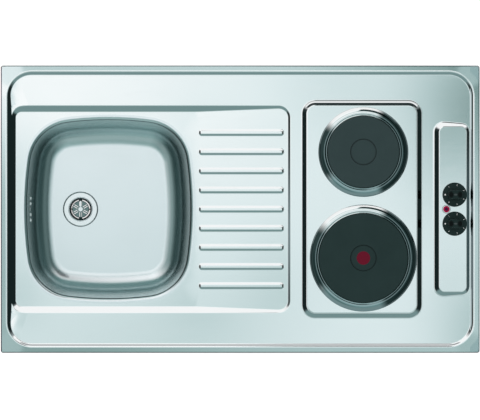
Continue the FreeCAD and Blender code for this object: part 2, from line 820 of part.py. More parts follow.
# --- Damping pads: bitumen sheets stuck below the bowl's floor and the drainer --------------------
pad_body = DOCUMENT.addObject("PartDesign::Body", "Pad")
pad_sketch = new_sketch(pad_body, "XY_Plane", f"{BOWL_FLOOR} - sheet_thickness")
pad_left = f"{WASTE_X} + waste_collar_radius + damping_margin"
pad_right = "bowl_x + bowl_half_width - bowl_depth * tan(bowl_draft) - bowl_floor_radius - damping_margin"
pad_y = "(bowl_half_depth - bowl_depth * tan(bowl_draft) - bowl_floor_radius - 2 * damping_margin)"
rounded_rectangle(pad_sketch, pad_left, pad_right, f"0 - {pad_y}", pad_y, "damping_margin")
pad(pad_body, pad_sketch, "damping_thickness", down=True)
node("bowl_damping_pad", pad_body)
drainer_y = "(rib_pitch * (round(rib_count) - 1) / 2 + damping_margin)"
pad_y, pad_z = f"0 - {drainer_y}", "0 - damping_thickness"
pad_depth = f"2 * {drainer_y}"
drainer_pad = block(DRAINER, "rib_gap", pad_y, pad_z, "rib_length", pad_depth, "damping_thickness")
node("drainer_damping_pad", drainer_pad)


# --- Waste: flange, strainer and screw above the bowl's floor, body and seals below ---------------
seal_hole = "waste_hole_radius + seal_inset / 2"
top_seal = ring(WASTE, "0", "0", "0", seal_hole, "waste_flange_radius - seal_inset", "seal_thickness")
node("waste_top_seal", top_seal)
throat = "(pit_radius + sheet_thickness)"
flange_top = "(seal_thickness + waste_flange_thickness)"
ledge = "(pit_radius - ledge_width)"
flange_profile = [
    (ledge, "0 - pit_depth"),
    ("pit_radius", "0 - pit_depth"),
    ("pit_radius", f"{flange_top} - flange_lead_in"),
    ("pit_radius + flange_lead_in", flange_top),
    ("waste_flange_radius - flange_bevel", flange_top),
    ("waste_flange_radius", f"{flange_top} - flange_bevel"),
    ("waste_flange_radius", "seal_thickness"),
    (throat, "seal_thickness"),
    (throat, "0 - pit_depth - sheet_thickness"),
    (ledge, "0 - pit_depth - sheet_thickness"),
]
node("waste_flange", turned(WASTE, "0", "0", "0", flange_profile))

grid = DOCUMENT.addObject("PartDesign::Body", "Grid")
disc = new_sketch(grid, "XY_Plane")
circle(disc, "0", "0", "strainer_radius")
pad(grid, disc, "strainer_thickness")
bridge = new_sketch(grid, "XY_Plane")
bridge_x, bridge_y = "strainer_bridge_width / 2", "(pit_radius - strainer_gap)"
rectangle(bridge, f"0 - {bridge_x}", bridge_x, f"0 - {bridge_y}", bridge_y)
pad(grid, bridge, "strainer_thickness")
middle = new_sketch(grid, "XY_Plane", "strainer_thickness")
circle(middle, "0", "0", "screw_radius + hole_gap")
pocket(grid, middle, "strainer_thickness")
arm = new_sketch(grid, "XY_Plane", "strainer_thickness")
arm_x = "strainer_arm_width / 2"
rectangle(arm, f"0 - {arm_x}", arm_x, "screw_head_radius + fit_gap", "strainer_radius - 2 * strainer_gap")
first_arm = pad(grid, arm, "strainer_arm_height")
arms = grid.newObject("PartDesign::PolarPattern", "Arms")
arms.Originals = [first_arm]
slots = new_sketch(grid, "XY_Plane", "strainer_thickness")
slot_x = f"({arm_x} + strainer_slot_width)"
slot_low = "screw_head_radius + strainer_slot_inset"
slot_high = "strainer_radius - strainer_slot_inset"
rectangle(slots, arm_x, slot_x, slot_low, slot_high)
rectangle(slots, f"0 - {slot_x}", f"0 - {arm_x}", slot_low, slot_high)
first_slots = pocket(grid, slots, "strainer_thickness")
slot_pattern = grid.newObject("PartDesign::PolarPattern", "Slots")
slot_pattern.Originals = [first_slots]
for pattern in (arms, slot_pattern):
    pattern.Axis = (next(f for f in grid.Origin.OriginFeatures if f.Role == "Z_Axis"), [""])
    pattern.Angle = 360
    bind(pattern, "Occurrences", "round(strainer_arms)")
grid.Tip = slot_pattern
STRAINER_TOP = "(strainer_thickness - pit_depth)"
node("strainer_grid", seat(grid, WASTE, z="0 - pit_depth"))

collar_top = "(0 - sheet_thickness - bottom_seal_thickness)"
chamber_radius = "(chamber_bore + waste_wall)"
chamber_floor = f"({collar_top} - waste_chamber_depth)"
outlet_top = f"({chamber_floor} - outlet_taper)"
outlet_end = f"({outlet_top} - outlet_length)"
hub_top = f"({chamber_floor} + hub_height - hub_sink)"
seal_edge = "waste_collar_radius - seal_inset"
bottom_seal = ring(WASTE, "0", "0", collar_top, seal_hole, seal_edge, "bottom_seal_thickness")
node("waste_bottom_seal", bottom_seal)
chamber_profile = [
    ("chamber_bore", collar_top),
    ("waste_collar_radius", collar_top),
    ("waste_collar_radius", f"{collar_top} - waste_collar_thickness"),
    (chamber_radius, f"{collar_top} - waste_collar_thickness"),
    (chamber_radius, chamber_floor),
    ("outlet_radius", outlet_top),
    ("outlet_radius", outlet_end),
    ("outlet_bore_radius", outlet_end),
    ("outlet_bore_radius", outlet_top),
    ("chamber_bore", chamber_floor),
]
BRANCH = (WASTE_X, f"({RECESS_FLOOR} - branch_drop)", "-90")
collar_end = f"({chamber_radius} + branch_collar)"
collar_radius = "(spigot_radius + branch_collar)"
chamber = join([
    turned(WASTE, "0", "0", "0", chamber_profile),
    rod(BRANCH, "0", "0", "0", collar_radius, collar_end),
    rod(BRANCH, "0", "0", "0", "spigot_radius", f"{collar_end} + spigot_length"),
])
chamber_depth = f"({collar_top} - {chamber_floor})"
bores = join([
    rod(WASTE, "0", "0", chamber_floor, "chamber_bore", chamber_depth),
    rod(BRANCH, "0", "0", "0", "spigot_bore", f"{collar_end} + 2 * spigot_length"),
])
spoke_length = "(2 * chamber_bore + waste_wall)"
hub = join([
    rod(WASTE, "0", "0", f"{hub_top} - hub_height", "hub_radius", "hub_height"),
    slab(WASTE, "0", "0", chamber_floor, spoke_length, "spoke_width", "spoke_height"),
    slab(WASTE, "0", "0", chamber_floor, "spoke_width", spoke_length, "spoke_height"),
])
hub_hole_low = f"{hub_top} - 2 * hub_height"
hub_hole = rod(WASTE, "0", "0", hub_hole_low, "screw_radius + thread_gap", "3 * hub_height")
node("waste_body", join([cut(chamber, bores), cut(hub, hub_hole)]))
screw_length = f"({STRAINER_TOP} - {hub_top} + hub_height - screw_reach)"
screw = join([
    rod(WASTE, "0", "0", STRAINER_TOP, "screw_head_radius", "screw_head_height"),
    rod(WASTE, "0", "0", f"{STRAINER_TOP} - {screw_length}", "screw_radius", screw_length),
])
node("strainer_screw", screw)


# --- Overflow: a housing screwed behind four slots in the bowl's wall -----------------------------
seal_back = "(0 - overflow_seal_thickness)"
low = "0 - overflow_height / 2"
seal_deep = "(2 * overflow_seal_thickness)"
seal_block = slab(WALL, "0", "0", low, seal_deep, "overflow_length", "overflow_height")
window_low = f"{low} + overflow_seal_width"
window_deep = "(4 * overflow_seal_thickness)"
window_length = "(overflow_length - 2 * overflow_seal_width)"
window_height = "overflow_height - 2 * overflow_seal_width"
seal_window = slab(WALL, "0", "0", window_low, window_deep, window_length, window_height)
node("overflow_seal", cut(cut(seal_block, seal_window), bowl_outside))
housing_back = f"({seal_back} - overflow_depth)"
spigot_x = f"({seal_back} - overflow_depth / 2)"
shell = slab(WALL, spigot_x, "0", low, "overflow_depth", "overflow_length", "overflow_height")
spigot_low = "(0 - overflow_height / 2 - spigot_length)"
spigot = rod(WALL, spigot_x, "0", spigot_low, "spigot_radius", "spigot_length + overflow_wall")
hollow_x = f"{spigot_x} + overflow_wall"
hollow_low = f"{low} + overflow_wall"
hollow_length = "(overflow_length - 2 * overflow_wall)"
hollow_height = "overflow_height - 2 * overflow_wall"
hollow = slab(WALL, hollow_x, "0", hollow_low, "overflow_depth", hollow_length, hollow_height)
spigot_hole = rod(WALL, spigot_x, "0", spigot_low, "spigot_bore", "spigot_length + overflow_height / 2")
boss_low = f"{housing_back} + overflow_wall / 2"
boss_length = "overflow_depth - overflow_wall / 2"
boss = rod(WALL_NORMAL, "0", "0", boss_low, "2 * overflow_screw_radius", boss_length)
screw_start = f"({housing_back} + overflow_wall)"
thread = "overflow_screw_radius + thread_gap"
boss_hole = rod(WALL_NORMAL, "0", "0", screw_start, thread, "overflow_depth")
walls = cut(join([shell, spigot]), join([hollow, spigot_hole]))
node("overflow_housing", cut(join([walls, boss]), boss_hole))
head = "overflow_screw_stand"
screw = join([
    rod(WALL_NORMAL, "0", "0", screw_start, "overflow_screw_radius", f"{head} - {screw_start}"),
    rod(WALL_NORMAL, "0", "0", head, "overflow_screw_head", "overflow_screw_radius"),
])
node("overflow_screw", screw)


def at(frame, x, y, z):
    """The point x, y, z of a frame."""
    across, up, turn = frame
    shift = number(f"{across} + ({x}) * cos({turn}) + ({z}) * sin({turn})")
    lift = number(f"{up} - ({x}) * sin({turn}) + ({z}) * cos({turn})")
    return VECTOR(shift, number(y), lift)


def route(points, radius=None):
    """Straight runs joined by tangent arcs; with no radius, each arc is as large as its runs allow."""
    edges = []
    start = points[0]
    for before, corner, after in zip(points, points[1:], points[2:]):
        coming = (corner - before).normalize()
        leaving = (after - corner).normalize()
        turn = coming.getAngle(leaving)
        shorter = min(corner.distanceToPoint(before), corner.distanceToPoint(after))
        reach = radius * math.tan(turn / 2) if radius else 0.45 * shorter
        first = corner - coming * reach
        last = corner + leaving * reach
        towards = (leaving - coming).normalize()
        bend = reach / math.tan(turn / 2)
        middle = corner + towards * (bend / math.cos(turn / 2) - bend)
        edges.append(Part.LineSegment(start, first).toShape())
        edges.append(Part.Arc(first, middle, last).toShape())
        start = last
    edges.append(Part.LineSegment(start, points[-1]).toShape())
    return Part.Wire(edges)


def tube(path, radius):
    """A round solid along a path."""
    first = path.Edges[0]
    start = first.FirstParameter
    mouth = Part.makeCircle(radius, first.valueAt(start), first.tangentAt(start))
    solid = path.makePipeShell([Part.Wire(mouth)], True, False)
    expected = math.pi * radius**2 * path.Length
    print(f"tube of radius {radius:.1f}: volume over section times length is {solid.Volume / expected:.4f}")
    return solid


def stretch(path, distance):
    """The point and the direction at a distance along a path."""
    for edge in path.OrderedEdges:
        if distance <= edge.Length + 1e-6:
            parameter = edge.getParameterByLength(distance)
            return edge.valueAt(parameter), edge.tangentAt(parameter)
        distance -= edge.Length
    raise ValueError("the distance runs past the path's end")


def formed(label, shape):
    """A sub-part whose shape follows a route."""
    thing = DOCUMENT.addObject("Part::Feature", "Routed")
    thing.Shape = shape
    return node(label, thing)


# --- Overflow hose: ribbed, pushed over both spigots and held by two clips ------------------------
hose_top = at(WALL, spigot_x, "0", "0 - overflow_height / 2")
hose_end = at(BRANCH, "0", "0", collar_end)
wall_down = at(WALL, spigot_x, "0", "0 - overflow_height") - hose_top
hose_corner = hose_top + wall_down * ((hose_end.z - hose_top.z) / wall_down.z)
hose_path = route([hose_top, hose_corner, hose_end], number("hose_bend_radius"))
bore_radius = number("spigot_radius + hose_clearance")
valley = bore_radius + number("hose_wall")
crest = valley + number("hose_rib_height")
cuff = number("hose_cuff")
rib_pitch = number("hose_rib_pitch")
hose_ribs = int((hose_path.Length - 2 * cuff) / rib_pitch)
crest_start = number("hose_crest_start") * rib_pitch
crest_end = number("hose_crest_end") * rib_pitch
rib_end = number("hose_rib_end") * rib_pitch
sections = [(0, valley)]
for index in range(hose_ribs):
    start = cuff + index * rib_pitch
    sections += [(start, valley), (start + crest_start, crest)]
    sections += [(start + crest_end, crest), (start + rib_end, valley)]
sections.append((hose_path.Length, valley))
rings = []
for distance, radius in sections:
    point, direction = stretch(hose_path, distance)
    hoop = Part.Circle(point, direction, radius)
    hoop.XAxis = VECTOR(0, 1, 0)
    rings.append(Part.Wire(hoop.toShape()))
hose = Part.makeLoft(rings, True, True).cut(tube(hose_path, bore_radius))
formed("overflow_hose", hose)
bend = number("hose_bend_radius")
inside_gap = rib_pitch * (bend - crest) / bend - crest_end + crest_start
print(f"hose: {hose_ribs} ribs, {hose_path.Length:.1f} long, least gap of crests {inside_gap:.2f}")
clip_inner = "(spigot_radius + hose_clearance + hose_wall)"
clip_outer = f"{clip_inner} + clip_thickness"
top_clip_z = f"{spigot_low} + clip_width / 2"
low_clip_z = f"{collar_end} + clip_width / 2"
clips = join([
    ring(WALL, spigot_x, "0", top_clip_z, clip_inner, clip_outer, "clip_width"),
    ring(BRANCH, "0", "0", low_clip_z, clip_inner, clip_outer, "clip_width"),
])
node("hose_clips", clips)


# --- Hotplates: cast iron, clamped down through a central stud ------------------------------------
studs = []
stud_nuts = []
for name in ("back", "front"):
    radius = f"{name}_plate_radius"
    y = f"{name}_plate_y"
    inside = f"({radius} - plate_wall)"
    groove = f"(({inside} - plate_boss_radius) / 3)"
    recess_level = "(plate_rise - plate_recess_depth)"
    under = f"({recess_level} - plate_web)"
    rib_end = f"({under} - groove_rib_height)"
    profile = [
        ("0", recess_level),
        ("plate_recess_radius", recess_level),
        ("plate_recess_radius + plate_recess_slope", "plate_rise"),
        (f"{radius} - plate_edge", "plate_rise"),
        (radius, "plate_rise - plate_edge"),
        (radius, "plate_rise - plate_skirt"),
        (inside, "plate_rise - plate_skirt"),
        (inside, under),
    ]
    for rib_number in (2, 1):
        rib_radius = f"(plate_boss_radius + {rib_number} * {groove})"
        outer, inner = f"{rib_radius} + groove_rib_width / 2", f"{rib_radius} - groove_rib_width / 2"
        profile += [(outer, under), (outer, rib_end), (inner, rib_end), (inner, under)]
    hole = "stud_radius + thread_gap"
    stud_top = f"({under} + stud_depth)"
    profile += [("plate_boss_radius", under), ("plate_boss_radius", rib_end)]
    profile += [(hole, rib_end), (hole, stud_top), ("0", stud_top)]
    node(f"{name}_hotplate", turned(HOB, "0", y, "0", profile))

    foot = f"({radius} + ring_width)"
    inner = f"({radius} + ring_gap)"
    crown_start = f"{radius} + ring_crown_start"
    crown_end = f"{radius} + ring_crown_end"
    section = [
        (inner, "ring_height - ring_lift - ring_thickness"),
        (inner, "ring_height - ring_lift"),
        (crown_start, "ring_height"),
        (crown_end, "ring_height - ring_crown_fall"),
        (f"{foot} - ring_toe_run", "ring_toe_rise"),
        (foot, "ring_toe_edge"),
        (foot, "0"),
        (f"{foot} - ring_thickness", "0"),
        (f"{foot} - ring_thickness", "ring_toe_edge - ring_crown_fall"),
        (f"{foot} - ring_toe_run - ring_thickness / 2", "ring_toe_rise - ring_thickness"),
        (f"{crown_end} - ring_thickness / 2", "ring_height - ring_crown_fall - ring_thickness"),
        (crown_start, "ring_height - ring_thickness"),
    ]
    node(f"{name}_spill_ring", turned(HOB, "0", y, "0", section))
    seal_outer = f"({foot} - ring_seal_inset)"
    seal_inner = f"{seal_outer} - plate_seal_width"
    plate_seal = ring(HOB, "0", y, "0", seal_inner, seal_outer, "plate_seal_thickness")
    node(f"{name}_plate_seal", plate_seal)
    heaters = []
    for groove_number in (0, 1, 2):
        middle = f"(plate_boss_radius + ({groove_number} + 0.5) * {groove})"
        inner, outer = f"{middle} - heater_width / 2", f"{middle} + heater_width / 2"
        heaters.append(ring(HOB, "0", y, f"{under} - heater_height", inner, outer, "heater_height"))
    node(f"{name}_heating_elements", join(heaters))
    cover_under = f"({rib_end} - plate_cover_thickness)"
    edge = f"{inside} - fit_gap"
    cover = ring(HOB, "0", y, cover_under, "stud_radius + fit_gap", edge, "plate_cover_thickness")
    node(f"{name}_plate_cover", cover)

    leg = f"({radius} + cutout_gap + bridge_gap)"
    foot_end = f"({leg} + bridge_foot)"
    foot_top = "(0 - sheet_thickness)"
    foot_low = f"({foot_top} - bridge_thickness)"
    web_top = f"({foot_top} - bridge_drop)"
    web_low = f"({web_top} - bridge_thickness)"
    leg_low = f"({foot_top} - bridge_leg)"
    outer_leg = f"({leg} + bridge_thickness)"
    right = [
        ("bridge_half_web", web_low),
        (outer_leg, f"{leg_low} - bridge_thickness / 2"),
        (outer_leg, foot_low),
        (foot_end, foot_low),
        (foot_end, foot_top),
        (leg, foot_top),
        (leg, leg_low),
        ("bridge_half_web", web_top),
    ]
    left = [(f"0 - {x}", z) for x, z in reversed(right)]
    strap = DOCUMENT.addObject("PartDesign::Body", "Strap")
    strap_side = new_sketch(strap, "XZ_Plane")
    polygon(strap_side, right + left)
    pad(strap, strap_side, "bridge_width").Midplane = True
    seat(strap, HOB, "0", y)
    stud_low = f"({under} + stud_depth - stud_length)"
    strap_hole = rod(HOB, "0", y, stud_low, "stud_radius + fit_gap", "stud_length")
    node(f"{name}_clamp_bridge", cut(strap, strap_hole))
    studs.append(rod(HOB, "0", y, stud_low, "stud_radius", "stud_length"))
    nut = hexagon(HOB, "0", y, f"{web_low} - nut_height", "nut_radius", "nut_height")
    stud_nuts.append(cut(nut, rod(HOB, "0", y, stud_low, "stud_radius + thread_gap", "stud_length")))
    middle, low = f"{y} + terminal_offset", f"{cover_under} - terminal_height"
    terminal = slab(HOB, "0", middle, low, "terminal_length", "terminal_width", "terminal_height")
    node(f"{name}_terminal_block", terminal)
    if name == "front":
        middle, low = f"{y} - terminal_offset", f"{cover_under} - limiter_height"
        limiter = slab(HOB, "0", middle, low, "limiter_length", "terminal_width", "limiter_height")
        node("front_heat_limiter", limiter)
node("plate_studs", join(studs))
node("plate_nuts", join(stud_nuts))


# --- Controls: two rotary switches, each with a shaft, a cam and a knob ---------------------------
BASE_TOP = "(0 - sheet_thickness)"
BASE_LOW = f"({BASE_TOP} - switch_height)"
COVER_LOW = f"({BASE_LOW} - switch_cover_thickness)"
CAVITY_TOP = f"({BASE_TOP} - switch_roof)"
TAIL_LOW = f"({COVER_LOW} - contact_tail)"
cavity_x = "(switch_length - 2 * switch_wall)"
cavity_y = "(switch_width - 2 * switch_wall)"
cavity_z = f"{CAVITY_TOP} - {BASE_LOW}"
shaft_space = "shaft_radius + running_clearance"
screws = []
knob_seals = []
for name, y in (("back", "dial_y"), ("front", "(0 - dial_y)")):
    base = slab(CONTROL, "dial_x", y, BASE_LOW, "switch_length", "switch_width", "switch_height")
    spaces = [
        slab(CONTROL, "dial_x", y, BASE_LOW, cavity_x, cavity_y, cavity_z),
        rod(CONTROL, "dial_x", y, BASE_LOW, shaft_space, "switch_height"),
    ]
    for side in ("+", "-"):
        screw_y = f"{y} {side} switch_screw_y"
        low = f"{BASE_TOP} - switch_screw_length"
        thread = "switch_screw_radius + thread_gap"
        spaces.append(rod(CONTROL, "dial_x", screw_y, low, thread, "switch_screw_length"))
        length = "switch_screw_length"
        stem = rod(CONTROL, "dial_x", screw_y, f"0 - {length}", "switch_screw_radius", length)
        head = rod(CONTROL, "dial_x", screw_y, "0", "switch_screw_head", "switch_screw_head_height")
        screws.append(join([stem, head]))
    node(f"{name}_switch_base", cut(base, join(spaces)))

    blades = []
    for x_side in (-1, 1):
        for y_side in (-1, 1):
            blade_x = f"dial_x + {x_side} * contact_x"
            blade_y = f"{y} + {y_side} * contact_y"
            high = f"({CAVITY_TOP} - contact_rest)"
            rise = f"{high} - {TAIL_LOW}"
            blade = slab(CONTROL, blade_x, blade_y, TAIL_LOW, "contact_thickness", "contact_width", rise)
            reach = "(contact_x - cam_radius - contact_gap)"
            rivet_x = f"{blade_x} - {x_side} * {reach} / 2"
            rivet_z = f"{high} - contact_rest"
            rivet = slab(CONTROL, rivet_x, blade_y, rivet_z, reach, "rivet_width", "rivet_height")
            blades.append(join([blade, rivet]))
    contacts = node(f"{name}_switch_contacts", join(blades))
    thick = "switch_cover_thickness"
    lid = slab(CONTROL, "dial_x", y, COVER_LOW, "switch_length", "switch_width", thick)
    pivot_hole = rod(CONTROL, "dial_x", y, COVER_LOW, "pivot_radius + running_clearance", thick)
    node(f"{name}_switch_cover", cut(cut(lid, pivot_hole), contacts))

    drum_low, drum_high = f"({BASE_LOW} + cam_gap)", f"({CAVITY_TOP} - cam_gap)"
    track = "(cam_radius - cam_track_depth)"
    cam_profile = [
        ("0", f"{COVER_LOW} + cam_gap"),
        ("pivot_radius", f"{COVER_LOW} + cam_gap"),
        ("pivot_radius", drum_low),
        ("cam_radius", drum_low),
        ("cam_radius", f"{drum_low} + cam_track_low"),
        (track, f"{drum_low} + cam_track_low"),
        (track, f"{drum_low} + cam_track_high"),
        ("cam_radius", f"{drum_low} + cam_track_high"),
        ("cam_radius", drum_high),
        ("shaft_radius", drum_high),
        ("shaft_radius", "shaft_bottom"),
        ("0", "shaft_bottom"),
    ]
    node(f"{name}_switch_cam", turned(CONTROL, "dial_x", y, "0", cam_profile))
    shaft = rod(CONTROL, "dial_x", y, "shaft_bottom", "shaft_radius", "shaft_top - shaft_bottom")
    flat_x, flat_z = "dial_x + shaft_flat + shaft_radius / 2", "shaft_flat_start"
    flat = slab(CONTROL, flat_x, y, flat_z, "shaft_radius", "(2 * shaft_radius)", "shaft_top")
    node(f"{name}_switch_shaft", cut(shaft, flat))
    hole = "shaft_radius + fit_gap"
    knob_seals.append(ring(CONTROL, "dial_x", y, "0", hole, "knob_seal_radius", "knob_seal_thickness"))

    hub_low = "knob_hub_gap"
    cap_under = "(knob_gap + knob_rim)"
    knob_profile = [
        ("0", hub_low),
        ("knob_hub_radius", hub_low),
        ("knob_hub_radius", cap_under),
        ("knob_radius - knob_skirt_wall", cap_under),
        ("knob_radius - knob_skirt_wall", "knob_gap"),
        ("knob_radius", "knob_gap"),
        ("knob_radius", "knob_gap + knob_rim"),
        ("knob_radius - knob_bevel", "knob_gap + knob_rim + knob_bevel"),
        ("knob_crown_radius", "knob_skirt_top"),
        ("0", "knob_skirt_top"),
    ]
    knob = turned(CONTROL, "dial_x", y, "0", knob_profile)
    grip_low = f"({cap_under} + knob_skirt_top) / 2"
    grip = new_sketch(knob, "XY_Plane", grip_low)
    half_x, half_y = "grip_length / 2", "grip_width / 2"
    rounded_rectangle(grip, f"0 - {half_x}", half_x, f"0 - {half_y}", half_y, "grip_corner")
    grip_pad = pad(knob, grip, f"knob_height - {grip_low}", spread="0 - grip_draft")
    top_level = number("knob_height")
    fillet(knob, grip_pad, "grip_edge", lambda edge: at_level(edge, top_level))
    bore = new_sketch(knob, "XY_Plane", hub_low)
    circle(bore, "0", "0", "shaft_radius + knob_fit")
    pocket(knob, bore, f"shaft_top - {hub_low}", up=True)
    node(f"{name}_knob", knob)
    leaf_x, leaf_z = "dial_x + shaft_flat + spring_thickness / 2", "shaft_flat_start + hole_gap"
    leaf = slab(CONTROL, leaf_x, y, leaf_z, "spring_thickness", "spring_width", "spring_length")
    node(f"{name}_knob_spring", leaf)
node("switch_screws", join(screws))
node("knob_seals", join(knob_seals))


# --- Pilot lamp: a red lens in a bright bezel -----------------------------------------------------
bezel_inner = "(lens_radius + bezel_gap)"
bezel_profile = [
    (bezel_inner, "0"),
    ("bezel_radius", "0"),
    ("bezel_radius", "bezel_height - bezel_edge"),
    ("bezel_radius - bezel_edge", "bezel_height"),
    (bezel_inner, "bezel_height"),
]
node("lamp_bezel", turned(CONTROL, "lamp_x", "0", "0", bezel_profile))
stem_end = "(0 - lamp_stem_drop)"
lens_profile = [
    ("0", stem_end),
    ("lamp_stem_radius", stem_end),
    ("lamp_stem_radius", "0"),
    ("lens_radius", "0"),
    ("lens_radius", "lens_side"),
    ("lens_shoulder_radius", "lens_shoulder_height"),
    ("lens_crown_radius", "lens_height"),
    ("0", "lens_height"),
]
node("lamp_lens", turned(CONTROL, "lamp_x", "0", "0", lens_profile))
lamp_profile = [
    ("0", f"{stem_end} - lamp_body_length"),
    ("lamp_body_radius", f"{stem_end} - lamp_body_length"),
    ("lamp_body_radius", BASE_TOP),
    ("lamp_stem_radius + thread_gap", BASE_TOP),
    ("lamp_stem_radius + thread_gap", stem_end),
    ("0", stem_end),
]
node("lamp_body", turned(CONTROL, "lamp_x", "0", "0", lamp_profile))


# --- Electrics tray: galvanised sheet, hung from studs welded below the deck ----------------------
tray = DOCUMENT.addObject("PartDesign::Body", "Tray")
tub = new_sketch(tray, "XY_Plane", "tray_floor")
rectangle(tub, "tray_left", "tray_right", "0 - tray_half_depth", "tray_half_depth")
pad(tray, tub, f"{DECK_UNDER} - tray_floor")
lip_low = f"({DECK_UNDER} - sheet_thickness)"
lip = new_sketch(tray, "XY_Plane", lip_low)
lip_y = "(tray_half_depth + tray_lip)"
rectangle(lip, "tray_left - tray_lip", "tray_right", f"0 - {lip_y}", lip_y)
pad(tray, lip, "sheet_thickness")
inside = new_sketch(tray, "XY_Plane", DECK_UNDER)
wall_y = "(tray_half_depth - sheet_thickness)"
rectangle(inside, "tray_left + sheet_thickness", "tray_right - sheet_thickness", f"0 - {wall_y}", wall_y)
pocket(tray, inside, f"{DECK_UNDER} - tray_floor - sheet_thickness")
stud_places = [("tray_left - tray_lip / 2", f"{side} tray_stud_side_y") for side in ("", "0 -")]
for x in ("tray_stud_first_x", "tray_stud_second_x"):
    stud_places += [(x, "tray_half_depth + tray_lip / 2"), (x, "0 - tray_half_depth - tray_lip / 2")]
stud_low = f"({DECK_UNDER} - tray_stud_length)"
tray_holes = []
tray_studs = []
tray_nuts = []
for x, y in stud_places:
    tray_holes.append(rod(LEVEL, x, y, stud_low, "tray_stud_radius + fit_gap", "tray_stud_length"))
    tray_studs.append(rod(LEVEL, x, y, stud_low, "tray_stud_radius", "tray_stud_length"))
    nut = hexagon(LEVEL, x, y, f"{lip_low} - tray_nut_height", "tray_nut_radius", "tray_nut_height")
    nut_hole = rod(LEVEL, x, y, stud_low, "tray_stud_radius + thread_gap", "tray_stud_length")
    tray_nuts.append(cut(nut, nut_hole))
hole_y = "tray_half_depth - gland_inside_length"
hole_radius = "gland_thread_radius + hole_gap / 2"
tray_holes.append(back_rod("gland_x", hole_y, "gland_z", hole_radius, "2 * gland_inside_length"))
node("electrics_tray", cut(tray, join(tray_holes)))
node("tray_studs", join(tray_studs))
node("tray_nuts", join(tray_nuts))


# --- Supply entry: a cable gland in the tray's back wall, its nut, and the terminal block inside --
dome_end = "gland_hex_length + gland_dome_length"
gland_profile = [
    ("gland_bore", "0 - gland_inside_length"),
    ("gland_thread_radius", "0 - gland_inside_length"),
    ("gland_thread_radius", "gland_hex_length / 2"),
    ("gland_dome_radius", "gland_hex_length / 2"),
    ("gland_dome_radius", f"{dome_end} - gland_dome_edge"),
    ("gland_dome_radius - gland_dome_edge", dome_end),
    ("gland_bore", dome_end),
]
barrel = face_back(turned(LEVEL, "0", "0", "0", gland_profile), "gland_x", "tray_half_depth", "gland_z")
gland_hex = back_hexagon("gland_x", "tray_half_depth", "gland_z", "gland_hex_radius", "gland_hex_length")
gland_space = back_rod("gland_x", "tray_half_depth", "gland_z", "gland_bore", "gland_hex_length")
node("cable_gland", join([barrel, cut(gland_hex, gland_space)]))
locknut_y = f"{wall_y} - gland_nut_height"
locknut = back_hexagon("gland_x", locknut_y, "gland_z", "gland_hex_radius", "gland_nut_height")
locknut_hole = "gland_thread_radius + thread_gap"
locknut_space = back_rod("gland_x", locknut_y, "gland_z", locknut_hole, "gland_nut_height")
node("gland_nut", cut(locknut, locknut_space))

mains_back = f"({wall_y} - gland_inside_length - mains_gap)"
mains_front = f"({mains_back} - mains_width)"
mains_low = "(tray_floor + sheet_thickness)"
mains_left = "gland_x - mains_length / 2"
mains = block(LEVEL, mains_left, mains_front, mains_low, "mains_length", "mains_width", "mains_height")
pole_pitch = "mains_length / round(mains_poles)"
way_z = f"({mains_low} + mains_height / 2)"
ways = []
for pole in range(round(number("mains_poles"))):
    way_x = f"{mains_left} + ({pole} + 1 / 2) * {pole_pitch}"
    ways.append(back_rod(way_x, mains_front, way_z, "mains_wire_radius", "mains_width"))
node("mains_terminal", cut(mains, join(ways)))


# --- Wiring: looms between the terminal block, the switches, the lamp and the hotplates -----------
loom_top = f"{TAIL_LOW} - loom_gap"
plate_looms = []
for name, side in (("back", "1"), ("front", "-1")):
    start = at(CONTROL, "dial_x - contact_x", f"{side} * (dial_y + contact_y)", loom_top)
    goal = at(HOB, "0", f"{name}_plate_y + terminal_offset", f"{cover_under} - terminal_height")
    level = number("plate_loom_level")
    below_start = VECTOR(start.x, start.y, level)
    below_goal = VECTOR(goal.x, goal.y, level)
    path = route([start, below_start, below_goal, goal])
    plate_looms.append(tube(path, number("loom_radius")))
formed("plate_wiring", Part.makeCompound(plate_looms))


def supply(start, pole, level, radius):
    """A loom that drops from its start, crosses the tray and enters one way of the mains terminal."""
    goal = at(LEVEL, f"{mains_left} + ({pole} + 1 / 2) * {pole_pitch}", mains_front, way_z)
    run = number("entry_run")
    drop = VECTOR(start.x, start.y, number(level))
    rise = VECTOR(goal.x, goal.y - 2 * run, number(level))
    ahead = VECTOR(goal.x, goal.y - run, goal.z)
    return tube(route([start, drop, rise, ahead, goal]), number(radius))


back_tail = at(CONTROL, "dial_x + contact_x", "dial_y + contact_y", loom_top)
front_tail = at(CONTROL, "dial_x + contact_x", "-1 * (dial_y + contact_y)", loom_top)
lamp_tail = at(CONTROL, "lamp_x", "0", f"{stem_end} - lamp_body_length - loom_gap")
supply_looms = [
    supply(back_tail, 4, "supply_loom_level", "loom_radius"),
    supply(front_tail, 3, "supply_loom_level", "loom_radius"),
    supply(lamp_tail, 2, "lamp_loom_level", "lamp_loom_radius"),
]
formed("supply_wiring", Part.makeCompound(supply_looms))


# --- Tests of the finished document, then one file for each sub-part ------------------------------
DOCUMENT.recompute()
for thing in DOCUMENT.Objects:
    faults = [state for state in thing.State if state in ("Invalid", "Error")]
    if faults:
        raise RuntimeError(f"{thing.Name} ({thing.Label}) is {faults}")
    if thing.TypeId in ("PartDesign::Pocket", "PartDesign::Pad"):
        base = thing.BaseFeature
        if base is not None:
            change = thing.Shape.Volume - base.Shape.Volume
            grows = thing.TypeId == "PartDesign::Pad"
            if change == 0 or (change > 0) != grows:
                raise RuntimeError(f"{thing.Name} does not change its body")
os.makedirs("parts", exist_ok=True)
for thing in nodes:
    shape = thing.Shape
    if shape.isNull() or not shape.isValid() or not shape.Solids:
        raise RuntimeError(f"{thing.Label} has no valid solid")
    shape.exportStep(f"parts/{thing.Label}.step")
print(f"{len(nodes)} sub-parts, {sum(len(thing.Shape.Solids) for thing in nodes)} solids")
